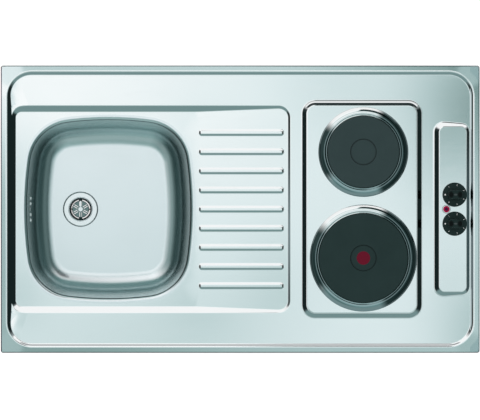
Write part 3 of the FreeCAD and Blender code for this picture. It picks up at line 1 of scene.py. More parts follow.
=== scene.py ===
import math

import bmesh
import bpy
import numpy as np
from mathutils import Matrix, Vector
from mathutils.geometry import delaunay_2d_cdt


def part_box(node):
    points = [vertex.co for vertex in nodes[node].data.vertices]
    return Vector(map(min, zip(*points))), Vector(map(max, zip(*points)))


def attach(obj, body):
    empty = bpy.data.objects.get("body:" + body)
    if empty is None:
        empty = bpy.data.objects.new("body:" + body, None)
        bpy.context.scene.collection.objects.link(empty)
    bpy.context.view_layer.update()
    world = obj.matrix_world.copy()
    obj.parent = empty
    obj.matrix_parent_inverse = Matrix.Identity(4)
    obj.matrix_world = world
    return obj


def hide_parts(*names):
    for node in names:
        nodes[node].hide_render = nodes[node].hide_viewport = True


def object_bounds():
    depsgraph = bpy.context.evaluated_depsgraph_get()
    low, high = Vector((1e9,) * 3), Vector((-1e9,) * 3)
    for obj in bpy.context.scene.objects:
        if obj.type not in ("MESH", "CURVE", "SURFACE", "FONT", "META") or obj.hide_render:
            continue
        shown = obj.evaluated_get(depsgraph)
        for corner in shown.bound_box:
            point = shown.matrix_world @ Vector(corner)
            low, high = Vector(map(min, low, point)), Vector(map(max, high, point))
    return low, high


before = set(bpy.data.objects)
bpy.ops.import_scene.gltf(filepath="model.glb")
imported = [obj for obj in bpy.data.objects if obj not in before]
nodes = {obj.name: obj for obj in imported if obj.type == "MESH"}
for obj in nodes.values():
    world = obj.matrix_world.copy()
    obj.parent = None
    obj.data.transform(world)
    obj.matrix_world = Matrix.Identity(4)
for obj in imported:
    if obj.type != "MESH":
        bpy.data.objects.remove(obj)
cad_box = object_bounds()


# --- Worktop deck ---
# One sheet of bright stainless steel, pressed in a single tool: rim, step, sunk sink field with its
# ribbed drainer, raised hob platform and tilted control strip. The skirt is folded down all round
# and returns below as four flanges that lie on the cabinet.
MM = 0.001
SHEET = 0.8
RIM_TOP = 40
RIM_FALL, RIM_REACH, EDGE_RADIUS = 1.6, 11, 2
DECK_TOP = 35
HALF_LENGTH, HALF_DEPTH = 500, 300
STEP = (0, 0, 487, 287, 52)
FIELD = (-188.2, 0, 292.8, 216, 25)
FIELD_DROP, FIELD_RUN = 10, 12
SLOPE_START, FIELD_RIGHT, DRAINER_RISE = -91, 104.6, 6.3
RIBS = [(2.5, 40 * place, 88.5, 6.5, 5.5) for place in range(-4, 5)]
RIB_HEIGHT, RIB_RUN = 3, 3.5
HOB = (254.1, 0, 125, 227.2, 28)
HOB_RISE, HOB_RUN, HOB_FOOT, HOB_SHOULDER = 7, 10, 1, 1.8
STRIP = (444.2, 0, 28.8, 172.7, 12)
STRIP_LEVEL = DECK_TOP + 6
STRIP_SLOPE = math.tan(math.asin(4 / 57.6))
FLARE, RIGHT_FLARE = math.tan(math.radians(40)), 0.64
STRIP_FOOT, RIGHT_FOOT, STRIP_SHOULDER = 2.2, 0.7, 0.8
DIAL_X, DIAL_Y, LAMP_X = 3.6, 30.3, -13.8
PLATES = {"back": (257.2, 119.5, 75), "front": (257.2, -102, 93)}
BEND, STEP_SLOPE, STEP_SHOULDER = 1.0, 5 / 6, 2.5
TIP_START, TIP_END, TIP_REACH, TIP_DROP = 272, 193, 35, 3.4


def depth_inside(x, y, middle_x, middle_y, half_x, half_y, corner):
    """How far a point lies inside a rectangle with rounded corners; outside it is negative."""
    across = np.abs(x - middle_x) - (half_x - corner)
    along = np.abs(y - middle_y) - (half_y - corner)
    round_part = np.hypot(np.maximum(across, 0), np.maximum(along, 0))
    return corner - round_part - np.minimum(np.maximum(across, along), 0)


def field_floor(x):
    """The sink field's level: flat round the bowl, then rising to the right under the ribs."""
    rise = np.maximum(x - SLOPE_START, 0) * DRAINER_RISE / (FIELD_RIGHT - SLOPE_START)
    return DECK_TOP - FIELD_DROP + rise


def flank(depth, run, rise, foot, shoulder):
    """A wall's rise at a depth: straight, with its foot and its shoulder rounded over their reach."""
    slope = rise / run
    low = np.where(depth < foot, slope * np.maximum(depth + foot, 0) ** 2 / (4 * foot), slope * depth)
    high = rise - slope * np.maximum(run + shoulder - depth, 0) ** 2 / (4 * shoulder)
    return np.where(depth < run - shoulder, low, high)


def pressed_level(x, y):
    """The sheet's level before its last bends are rounded."""
    tip = np.clip((TIP_START - np.abs(y)) / (TIP_START - TIP_END), 0, 1)
    ahead = np.clip((FIELD[0] - FIELD[2] + TIP_REACH - x) / TIP_REACH, 0, 1)
    level = DECK_TOP - TIP_DROP * tip**2 * (3 - 2 * tip) * ahead
    level = level + flank(depth_inside(x, y, *HOB), HOB_RUN, HOB_RISE, HOB_FOOT, HOB_SHOULDER)
    right = np.clip((x - STRIP[0] - STRIP[2] + STRIP[4]) / STRIP[4], 0, 1)
    rise = STRIP_LEVEL - DECK_TOP + (STRIP[0] - x) * STRIP_SLOPE
    run = rise / (FLARE + (RIGHT_FLARE - FLARE) * right)
    foot = STRIP_FOOT + (RIGHT_FOOT - STRIP_FOOT) * right
    level = level + flank(depth_inside(x, y, *STRIP) + run, run, rise, foot, STRIP_SHOULDER)
    into_step = depth_inside(x, y, *STEP)
    soft = np.maximum(into_step + STEP_SHOULDER, 0) ** 2 / (4 * STEP_SHOULDER)
    wall = RIM_TOP - STEP_SLOPE * np.where(into_step < STEP_SHOULDER, soft, into_step)
    level = np.maximum(level, wall) - RIM_FALL * np.maximum(-into_step, 0) / RIM_REACH
    floor = field_floor(x)
    for rib in RIBS:
        floor = floor + np.clip(depth_inside(x, y, *rib) * RIB_HEIGHT / RIB_RUN, 0, RIB_HEIGHT)
    into_field = depth_inside(x, y, *FIELD)
    sunk = np.maximum(floor, DECK_TOP - into_field * FIELD_DROP / FIELD_RUN)
    return np.where(into_field > 0, np.minimum(level, sunk), level)


def bent_level(x, y):
    """The sheet's level with each bend rounded, as a press leaves it."""
    total = pressed_level(x, y)
    count = 1
    for reach, spokes in ((0.45, 6), (0.9, 12)):
        for spoke in range(spokes):
            turn = 2 * math.pi * (spoke + 0.5) / spokes
            shift_x, shift_y = BEND * reach * math.cos(turn), BEND * reach * math.sin(turn)
            total = total + pressed_level(x + shift_x, y + shift_y)
            count += 1
    return total / count


def bent_normal(x, y):
    """The direction that the rounded sheet faces."""
    near = 0.3
    lean_x = (bent_level(x - near, y) - bent_level(x + near, y)) / (2 * near)
    lean_y = (bent_level(x, y - near) - bent_level(x, y + near)) / (2 * near)
    facing = np.stack([lean_x, lean_y, np.ones_like(x)], axis=1)
    return facing / np.linalg.norm(facing, axis=1)[:, None]


def loop_round(outline, inset, long_side, short_side, per_corner):
    """Points anticlockwise round a rectangle with rounded corners, moved inwards by an inset."""
    middle_x, middle_y, half_x, half_y, corner = outline
    half_x, half_y, radius = half_x - inset, half_y - inset, max(corner - inset, 0.4)
    centres = [(1, -1), (1, 1), (-1, 1), (-1, -1)]
    points = []
    for quarter, (side_x, side_y) in enumerate(centres):
        centre_x = middle_x + side_x * (half_x - radius)
        centre_y = middle_y + side_y * (half_y - radius)
        for step in range(per_corner + 1):
            turn = (quarter - 1 + step / per_corner) * math.pi / 2
            points.append((centre_x + radius * math.cos(turn), centre_y + radius * math.sin(turn)))
        run = short_side if quarter % 2 == 0 else long_side
        reach = (half_y if quarter % 2 == 0 else half_x) - radius
        ahead = ((0, 1), (-1, 0), (0, -1), (1, 0))[quarter]
        for step in range(1, run):
            travel = 2 * reach * step / run
            start_x = centre_x + radius * math.cos(quarter * math.pi / 2)
            start_y = centre_y + radius * math.sin(quarter * math.pi / 2)
            points.append((start_x + ahead[0] * travel, start_y + ahead[1] * travel))
    return np.array(points)


def circle_round(middle_x, middle_y, radius, count):
    """Points anticlockwise round a circle."""
    turn = np.arange(count) * 2 * math.pi / count
    return np.stack([middle_x + radius * np.cos(turn), middle_y + radius * np.sin(turn)], axis=1)


def at_level(plan, level):
    """Points or directions in plan, all given the same third value."""
    return np.concatenate([plan, np.full((len(plan), 1), level)], axis=1)


def quads(above, below, outward=False):
    """Faces between two closed rings of corners, one at each step round."""
    faces = zip(above, above[1:] + above[:1], below[1:] + below[:1], below)
    return [(a, d, c, b) if outward else (a, b, c, d) for a, b, c, d in faces]


def spot(place):
    """A place to the hundredth of a mm, by which a point that is there already is found."""
    return round(place[0], 2), round(place[1], 2)


def within(points, loop):
    """True for each point that a closed loop goes round."""
    x, y = points[:, 0][:, None], points[:, 1][:, None]
    ax, ay = loop[:, 0][None], loop[:, 1][None]
    bx, by = np.roll(loop[:, 0], -1)[None], np.roll(loop[:, 1], -1)[None]
    crossing = ax + (y - ay) * (bx - ax) / np.where(by == ay, 1, by - ay)
    return ((((ay > y) != (by > y)) & (x < crossing)).sum(axis=1) % 2) == 1


def fill_between(loops, outer, holes):
    """Triangles through all the loops' points, inside the outer loop and outside the holes."""
    points, edges = [], []
    for loop in loops:
        first = len(points)
        points.extend(Vector(point) for point in loop)
        edges.extend((first + step, first + (step + 1) % len(loop)) for step in range(len(loop)))
    flat, _, triangles, *_ = delaunay_2d_cdt(points, edges, [], 0, 1e-4)
    flat = np.array([tuple(point) for point in flat])
    triangles = np.array([tuple(triangle) for triangle in triangles])
    middle = flat[triangles].mean(axis=1)
    kept = within(middle, outer)
    for hole in holes:
        kept &= ~within(middle, hole)
    return flat, triangles[kept]


def put(name, data):
    """Brings a piece, a panel or the camera into the scene."""
    piece = bpy.data.objects.new(name, data)
    bpy.context.scene.collection.objects.link(piece)
    return piece


def built(name, shape, smooth=False):
    """Brings a shape that was built face by face into the scene."""
    mesh = bpy.data.meshes.new(name)
    shape.to_mesh(mesh)
    shape.free()
    if smooth:
        mesh.shade_smooth()
    return put(name, mesh)


def sheet_metal(name, points, facings, faces):
    """A sheet from its face side: its back lies a thickness behind, and its cut edges are closed."""
    count = len(points)
    used = dict.fromkeys(edge for face in faces for edge in zip(face, face[1:] + face[:1]))
    backs = [tuple(corner + count for corner in reversed(face)) for face in faces]
    sides = [(end, start, start + count, end + count) for start, end in used if (end, start) not in used]
    mesh = bpy.data.meshes.new(name)
    mesh.from_pydata((np.concatenate([points, points - SHEET * facings]) * MM).tolist(), [], faces + backs + sides)
    mesh.shade_smooth()
    both = np.concatenate([facings, -facings])
    directions = [direction for face in faces + backs for direction in both[list(face)].tolist()]
    for polygon in list(mesh.polygons)[len(faces + backs):]:
        directions.extend([tuple(polygon.normal)] * 4)
    mesh.normals_split_custom_set(directions)
    return put(name, mesh)


class Wire:
    """An output of a shader node. Sums and products of wires add Math nodes to the same material."""

    def __init__(self, tree, socket=None):
        self.tree, self.socket = tree, socket

    def node(self, kind, sockets=(), output=0, stops=None, **settings):
        """Adds a node: its settings and a ramp's stops first, then the values or wires of its sockets."""
        made = self.tree.nodes.new("ShaderNode" + kind)
        for setting, value in settings.items():
            setattr(made, setting, value)
        if stops:
            ramp = made.color_ramp.elements
            while len(ramp) < len(stops):
                ramp.new(0.5)
            for element, (place, shade) in zip(ramp, stops):
                element.position = place
                element.color = (*shade, 1)
        for socket, value in dict(sockets).items():
            self.feed(made.inputs[socket], value)
        return Wire(self.tree, made.outputs[output])

    def feed(self, socket, value):
        """Joins a wire to a socket, or sets the socket's own value."""
        if isinstance(value, Wire):
            self.tree.links.new(value.socket, socket)
        else:
            socket.default_value = value

    def maths(self, operation, *terms):
        return self.node("Math", enumerate(terms), operation=operation)

    def __abs__(self):
        return self.maths("ABSOLUTE", self)

    def __neg__(self):
        return self * -1.0

    def or_more(self, other):
        return self.maths("MAXIMUM", self, other)

    def between(self, low, high):
        """0 below low, 1 above high, and smooth between them."""
        return self.node("MapRange", {0: self, 1: low, 2: high}, interpolation_type="SMOOTHSTEP")

    def until(self, low, high):
        """1 below low, 0 above high, and smooth between them."""
        return 1 - self.between(low, high)

    def split(self, kind, output):
        """The three parts of a place or a direction."""
        whole = self.node(kind, output=output)
        return [self.node("SeparateXYZ", {0: whole}, output=axis) for axis in range(3)]

    def place(self):
        """Where a point of the surface lies, in mm."""
        return [part * (1 / MM) for part in self.split("TexCoord", "Object")]

    def facing(self):
        """The way that the surface faces: to the right, to the back and up."""
        return self.split("TexCoord", "Normal")

    def round_centre(self, x, y):
        """How far a point lies to the right of a centre and behind it, and its distance, in mm."""
        across, along = (part - centre for part, centre in zip(self.place(), (x, y)))
        return across, along, (across * across + along * along) ** 0.5


def arithmetic(operation, turned=False):
    """A Wire's method for an operator, or for the operator with the wire on its right."""
    if turned:
        return lambda wire, other: wire.maths(operation, other, wire)
    return lambda wire, other: wire.maths(operation, wire, other)


operators = {"add": "ADD", "sub": "SUBTRACT", "mul": "MULTIPLY", "truediv": "DIVIDE", "pow": "POWER"}
for method, operation in operators.items():
    setattr(Wire, f"__{method}__", arithmetic(operation))
    setattr(Wire, f"__r{method}__", arithmetic(operation, turned=True))


def finish(name, **constants):
    """A material, the wire that starts its nodes, and the sockets of its surface."""
    material = bpy.data.materials.new(name)
    material.use_nodes = True
    tree = material.node_tree
    surface = tree.nodes["Principled BSDF"].inputs
    for socket, value in constants.items():
        surface[socket.replace("_", " ")].default_value = (*value, 1) if isinstance(value, tuple) else value
    return material, Wire(tree), surface


def coat(start, surface, tone, rough, bump=None, strength=1.0, depth=0.1):
    """Feeds a finish: its colour, its roughness, and a bump with its strength and its depth in mm."""
    start.feed(surface["Base Color"], tone)
    start.feed(surface["Roughness"], rough)
    if bump:
        relief = {"Height": bump, "Strength": strength, "Distance": depth * MM}
        start.feed(surface["Normal"], start.node("Bump", relief))


def lay_over(material, *tones):
    """Lays more tones over a finish's colour, each by its share."""
    start, socket = Wire(material.node_tree), material.node_tree.nodes["Principled BSDF"].inputs["Base Color"]
    tone = Wire(material.node_tree, socket.links[0].from_socket)
    for share, shade in tones:
        tone = blend(start, share, tone, shade)
    start.feed(socket, tone)


def clouded(name, light, dark, cloud, rough, rougher, bump=None, strength=1.0, depth=0.1, **constants):
    """A finish that clouds from one colour to another and gets rougher with it. Cloud and bump are noise:
    cycles to a metre, and for the cloud its detail."""
    material, start, surface = finish(name, **constants)
    clouds = grain(start, cloud[0], detail=cloud[1])
    relief = grain(start, bump) if bump else None
    coat(start, surface, blend(start, clouds, light, dark), rough + rougher * clouds, relief, strength, depth)
    return material


def grain(start, scale, stretch=(1, 1, 1), detail=2.0, roughness=0.5):
    """Noise in the part's own space, so many cycles to a metre, drawn out along an axis."""
    place = start.node("TexCoord", output="Object")
    place = start.node("Mapping", {"Vector": place, "Scale": stretch})
    sockets = {"Vector": place, "Scale": scale, "Detail": detail, "Roughness": roughness}
    return start.node("TexNoise", sockets, output="Fac")


def blend(start, amount, first, second):
    """One colour shading into another."""
    colours = {"Factor": amount, 6: first, 7: second}
    for socket in (6, 7):
        if isinstance(colours[socket], tuple):
            colours[socket] = (*colours[socket], 1)
    return start.node("Mix", colours, output=2, data_type="RGBA")


def steel(name, colour, rough, brush, dent, sides, painted_front_shade, upright, lean, corner, skew=0.0, wiped=1.0):
    """Bare stainless steel: a fine drawn grain, faint wiped marks and the waves left by the press.
    Its walls are painted darker than its flats as painted shade and painted reflection, with one painted tone for
    walls that face the sides and one for walls that face the front: upright and lean say which parts count as walls,
    and corner and skew where round a corner the painted tone of the sides ends."""
    material, start, surface = finish(name, Metallic=1.0)
    to_right, to_back, up = start.facing()
    level = (to_right * to_right + to_back * to_back + 1e-6) ** 0.5
    steep = up.between(*upright) * level.between(*lean)
    painted_side_shade_mask = steep * (abs(to_right) / level - skew * to_back / level).between(*corner)
    front_wall = steep * (-to_back / level).between(0.05, 0.35)
    drawn = grain(start, 260, stretch=(0.06, 1, 1), detail=3)
    cloud = grain(start, 9, detail=3)
    wipes = wiped * grain(start, 34, stretch=(0.25, 1, 1), detail=4, roughness=0.7).between(0.52, 0.74)
    tone = blend(start, cloud * 0.6 + wipes * 0.25, colour, tuple(0.955 * c for c in colour))
    # painted shade: the walls take the two painted wall tones by the way they face
    tone = blend(start, painted_side_shade_mask, blend(start, front_wall, tone, painted_front_shade), sides)
    rough = rough * (0.9 + 0.22 * cloud) + 0.03 * wipes + 0.03 * drawn
    coat(start, surface, tone, rough, grain(start, 5, detail=1) * dent + drawn * brush, depth=1)
    return material


# The two wall tones given here are painted shade on the deck's walls.
stainless = steel(
    "stainless", (0.905, 0.925, 0.93), rough=0.075, brush=0.004, dent=0.12, sides=(0.018, 0.030, 0.030),
    painted_front_shade=(0.33, 0.45, 0.45), upright=(0.35, 0.5), lean=(0.36, 0.5), corner=(0.74, 0.94),
)
start = Wire(stainless.node_tree)
x, y, z = start.place()
to_right, to_back, _ = start.facing()
# Painted shade laid over the deck: a dark line along the rim's cut edge, and darker bands on the hob's back wall, the
# step's front wall, the field's right wall and the walls at the strip's right end.
to_edge = (abs(x) - (HALF_LENGTH - HALF_DEPTH)).or_more(abs(y))
painted_edge_shade_line = to_edge.between(HALF_DEPTH - 2.6, HALF_DEPTH - 1.4) * z.between(RIM_TOP - 4.5, RIM_TOP - 3.5)
painted_rim_shade = blend(start, abs(x).between(HALF_LENGTH - 4, HALF_LENGTH - 3), (0.17, 0.21, 0.21), (0.05, 0.065, 0.066))
faces_back, faces_side = to_back.between(0.2, 0.4), abs(to_right)
hob_back = faces_back * y.between(210, 212) * y.until(230, 232) * x.until(385, 387)
step_front = faces_back * y.until(-279, -277) * z.between(36, 36.6) * z.until(37.8, 38.6)
from_middle = (y + 45) / 130
field_right = x.between(90, 95) * x.until(107, 112) * faces_side.between(0.2, 0.4)
field_right = field_right * math.e ** -(from_middle * from_middle)
right_walls = faces_side.between(0.3, 0.45) * y.until(50, 170) * y.between(-220, -170)
lay_over(
    stainless,
    (painted_edge_shade_line, painted_rim_shade),
    (hob_back * z.until(36.3, 37), (0.5, 0.52, 0.52)),
    (hob_back * z.between(38, 38.8) * z.until(41.2, 41.8), (0.022, 0.036, 0.036)),
    (step_front, (0.27, 0.29, 0.3)),
    (field_right, (0.4, 0.46, 0.48)),
    (x.between(479.5, 480.5) * z.until(37, 37.8), (0.74, 0.8, 0.82)),
    (right_walls * x.between(472.2, 473.2) * x.until(479.5, 480.5), (0.10, 0.15, 0.16)),
    (right_walls * x.between(483, 484), (0.2, 0.24, 0.26)),
)

BOWL_X, BOWL_HALF_WIDTH, BOWL_HALF_DEPTH = -275, 173, 188.7
SIDE_RADIUS, END_RADIUS, BOWL_CORNER, BOWL_LIP = 758, 698, 92, 9


def bowl_loop(grow, side_steps=56, corner_steps=20):
    """Points round the bowl's bowed outline, grown outwards, and the way that each faces in plan."""
    reach_x, reach_y = SIDE_RADIUS - BOWL_HALF_WIDTH, END_RADIUS - BOWL_HALF_DEPTH
    span = math.hypot(reach_x, reach_y)
    side_room, end_room = SIDE_RADIUS - BOWL_CORNER, END_RADIUS - BOWL_CORNER
    along = (span**2 + side_room**2 - end_room**2) / (2 * span)
    off = math.sqrt(side_room**2 - along**2)
    corner_x = -reach_x + (along * reach_x + off * reach_y) / span
    corner_y = (off * reach_x - along * reach_y) / span
    low = math.atan2(corner_y, corner_x + reach_x)
    high = math.atan2(corner_y + reach_y, corner_x)
    arcs = [
        (-reach_x, 0, SIDE_RADIUS, -low, low, side_steps),
        (corner_x, corner_y, BOWL_CORNER, low, high, corner_steps),
        (0, -reach_y, END_RADIUS, high, math.pi - high, side_steps),
        (-corner_x, corner_y, BOWL_CORNER, math.pi - high, math.pi - low, corner_steps),
    ]
    arcs += [(-x, -y, radius, first + math.pi, last + math.pi, steps) for x, y, radius, first, last, steps in arcs]
    points, facings = [], []
    for centre_x, centre_y, radius, start, stop, steps in arcs:
        for turn in np.linspace(start, stop, steps, endpoint=False):
            ahead = (math.cos(turn), math.sin(turn))
            points.append((BOWL_X + centre_x + (radius + grow) * ahead[0], centre_y + (radius + grow) * ahead[1]))
            facings.append(ahead)
    return np.array(points), np.array(facings)


LOOP_GAP, PLATE_GAP, LAMP_HOLE, DIAL_HOLE = 0.75, 4, 6, 5
FLANGE_GAP, FLANGE_WIDTH, FLANGE_END = 1.4, 16.6, 30


def press_deck():
    """The deck's face: loops across each bend, filled between, then the skirt below the rim."""
    rim = (0, 0, HALF_LENGTH - EDGE_RADIUS, HALF_DEPTH - EDGE_RADIUS, 3)
    foot = np.arange(-3, 3.1, LOOP_GAP)
    bends = [
        (rim, (0, 1.6, 5, 8), 64, 40, 8),
        (STEP, np.arange(-3, 9.1, LOOP_GAP), 70, 44, 28),
        (FIELD, np.arange(-3, 15.1, LOOP_GAP), 64, 44, 20),
        (HOB, np.concatenate([foot, np.arange(7, 13.1, LOOP_GAP)]), 24, 40, 20),
        (STRIP, np.concatenate([foot, np.arange(-16.2, -3.5, LOOP_GAP)]), 14, 44, 14),
    ]
    bends += [(rib, (-2.4, -1.6, -0.8, 0, 0.8, 1.6, 2.4, 3.2, 4, 4.8), 26, 3, 10) for rib in RIBS]
    loops = [loop_round(outline, inset, *counts) for outline, insets, *counts in bends for inset in insets]
    outer = loops[0]
    holes = [bowl_loop(BOWL_LIP)[0]]
    holes += [circle_round(plate_x, plate_y, radius + PLATE_GAP, 96) for plate_x, plate_y, radius in PLATES.values()]
    tilt = math.cos(math.atan(STRIP_SLOPE))
    for run, hole_y, radius in ((LAMP_X, 0, LAMP_HOLE), (DIAL_X, DIAL_Y, DIAL_HOLE), (DIAL_X, -DIAL_Y, DIAL_HOLE)):
        holes.append(circle_round(STRIP[0] + run * tilt, hole_y, radius, 32))
    flat, triangles = fill_between(loops + holes, outer, holes)
    x, y = flat[:, 0], flat[:, 1]
    points, facings = [np.stack([x, y, bent_level(x, y)], axis=1)], [bent_normal(x, y)]
    faces = [tuple(triangle) for triangle in triangles.tolist()]
    index = {spot(place): corner for corner, place in enumerate(flat)}
    above = [index[spot(place)] for place in outer]
    courses = []
    for turn in np.linspace(0, math.pi / 2, 7)[1:]:
        courses.append((EDGE_RADIUS * math.sin(turn), RIM_TOP - RIM_FALL - EDGE_RADIUS * (1 - math.cos(turn)), turn))
    courses += [(EDGE_RADIUS, level, math.pi / 2) for level in (30, 20, 10, 2)]
    for turn in np.linspace(0, math.pi / 2, 5)[1:]:
        courses.append((EDGE_RADIUS * math.cos(turn), EDGE_RADIUS * (1 - math.sin(turn)), math.pi / 2 + turn))
    away = np.array([away_from(px, py, rim) for px, py in outer])
    total = len(flat)
    for run, level, lean in courses:
        points.append(at_level(outer + away * run, level))
        facings.append(at_level(away * math.sin(lean), math.cos(lean)))
        below = list(range(total, total + len(outer)))
        total += len(outer)
        faces += quads(above, below, outward=True)
        above = below
    return np.concatenate(points), np.concatenate(facings), faces


def away_from(x, y, outline):
    """The way outwards, in plan, from a point on a rectangle with rounded corners."""
    middle_x, middle_y, half_x, half_y, corner = outline
    across = x - middle_x - math.copysign(min(abs(x - middle_x), half_x - corner), x - middle_x)
    along = y - middle_y - math.copysign(min(abs(y - middle_y), half_y - corner), y - middle_y)
    length = math.hypot(across, along)
    return across / length, along / length


deck = sheet_metal("pressed_worktop", *press_deck())
deck.data.materials.append(stainless)
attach(deck, "top")
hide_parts("worktop_deck")

flange_shape = bmesh.new()
inwards = FLANGE_GAP + FLANGE_WIDTH / 2
for side in (-1, 1):
    for middle, size in (
        ((0, side * (HALF_DEPTH - inwards), SHEET / 2), (2 * (HALF_LENGTH - FLANGE_END), FLANGE_WIDTH, SHEET)),
        ((side * (HALF_LENGTH - inwards), 0, SHEET / 2), (FLANGE_WIDTH, 2 * (HALF_DEPTH - FLANGE_END), SHEET)),
    ):
        place = Matrix.Translation(Vector(middle) * MM) @ Matrix.Diagonal(Vector(size) * MM).to_4x4()
        bmesh.ops.create_cube(flange_shape, matrix=place)
flanges = built("return_flanges", flange_shape)
flanges.data.materials.append(stainless)
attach(flanges, "top")


# --- Deck stiffeners ---
# Two channels of galvanised sheet, bonded below the deck in front of and behind the sink.
galvanised, start, surface = finish("galvanised", Metallic=0.85)
cells = {"Vector": start.node("TexCoord", output="Object"), "Scale": 110.0}
shade = start.node("SeparateColor", {0: start.node("TexVoronoi", cells, output="Color")})
bloom = grain(start, 14, detail=4)
tone = blend(start, shade * 0.6 + bloom * 0.4, (0.50, 0.52, 0.53), (0.68, 0.70, 0.70))
spangle = start.node("TexVoronoi", cells, output="Distance")
coat(start, surface, tone, 0.34 + 0.16 * bloom + 0.08 * shade, spangle, 0.25, 0.2)


def dress(material, *names):
    """Gives CAD nodes their finish."""
    for name in names:
        for place in nodes[name].material_slots:
            place.material = material


dress(galvanised, "deck_stiffeners")


# --- Sink bowl ---
# A deep-drawn stainless bowl with bowed sides, welded into the field and ground flush; satin inside.
# A shallow recess in its floor takes the waste, and four slots in its left wall the overflow.
FIELD_FLOOR = DECK_TOP - FIELD_DROP
BOWL_DEPTH, DRAFT, FLOOR_RADIUS, MOUTH_RADIUS = 150, math.radians(8), 40, 8
WASTE_X, RECESS_RADIUS, RECESS_DROP, RECESS_RUN, WASTE_HOLE = -335.2, 36.6, 3, 1.4, 26
MOUTH_DRAW, WINDOW_TOP, WINDOW_REACH, SCREW_HOLE, APRON = 2, -41, 36, 2.2, 6
OVERFLOW_DROP, SLOT_PITCH, SLOT_HALF_WIDTH, SLOT_HALF_HEIGHT = 55, 11.5, 2.5, 4.5


def bowl_profile():
    """The bowl's side from its lip to its floor: growth in plan, level, and the way that it faces."""
    lean = math.tan(DRAFT)
    mouth_run = MOUTH_RADIUS * math.tan((math.pi / 2 - DRAFT) / 2)
    rows = [(BOWL_LIP + MOUTH_DRAW, 0, 0, 1), (0.5 * (BOWL_LIP + MOUTH_DRAW + mouth_run), 0, 0, 1)]
    for turn in np.linspace(0, math.pi / 2 - DRAFT, 13):
        out, up = -math.sin(turn), math.cos(turn)
        rows.append((mouth_run + MOUTH_RADIUS * out, MOUTH_RADIUS * (up - 1), out, up))
    for depth in (20, 30, -WINDOW_TOP, 69, 82, 94, 104):
        rows.append((-depth * lean, -depth, -math.cos(DRAFT), math.sin(DRAFT)))
    centre_grow = -(BOWL_DEPTH - FLOOR_RADIUS) * lean - FLOOR_RADIUS / math.cos(DRAFT)
    for turn in np.linspace(math.pi / 2 - DRAFT, 0, 17):
        out, up = -math.sin(turn), math.cos(turn)
        rows.append((centre_grow - FLOOR_RADIUS * out, FLOOR_RADIUS - BOWL_DEPTH - FLOOR_RADIUS * up, out, up))
    return [(grow - MOUTH_DRAW * (1 + level / BOWL_DEPTH), level, out, up) for grow, level, out, up in rows]


def left_wall(y, z):
    """The left wall's X at a place on it, and the turn round the centre of its bow."""
    share = (z - FIELD_FLOOR) / BOWL_DEPTH
    radius = SIDE_RADIUS + share * BOWL_DEPTH * math.tan(DRAFT) - MOUTH_DRAW * (1 + share)
    turn = np.arcsin(y / radius)
    return BOWL_X + SIDE_RADIUS - BOWL_HALF_WIDTH - radius * np.cos(turn), turn


def slot_outlines():
    """The four overflow slots, in the wall's Y and Z."""
    half_height = SLOT_HALF_HEIGHT * math.cos(DRAFT)
    for place in (-2, -1, 1, 2):
        yield place * SLOT_PITCH, FIELD_FLOOR - OVERFLOW_DROP, SLOT_HALF_WIDTH, half_height, SLOT_HALF_WIDTH - 0.1


def sewn(flat, triangles, border, corners, total):
    """Triangles of a filled shape whose border is there already; its other points count on from total."""
    there = {spot(place): corner for place, corner in zip(border, corners)}
    lookup = [there.get(spot(place), total + step) for step, place in enumerate(flat)]
    return [tuple(lookup[corner] for corner in triangle) for triangle in triangles.tolist()]


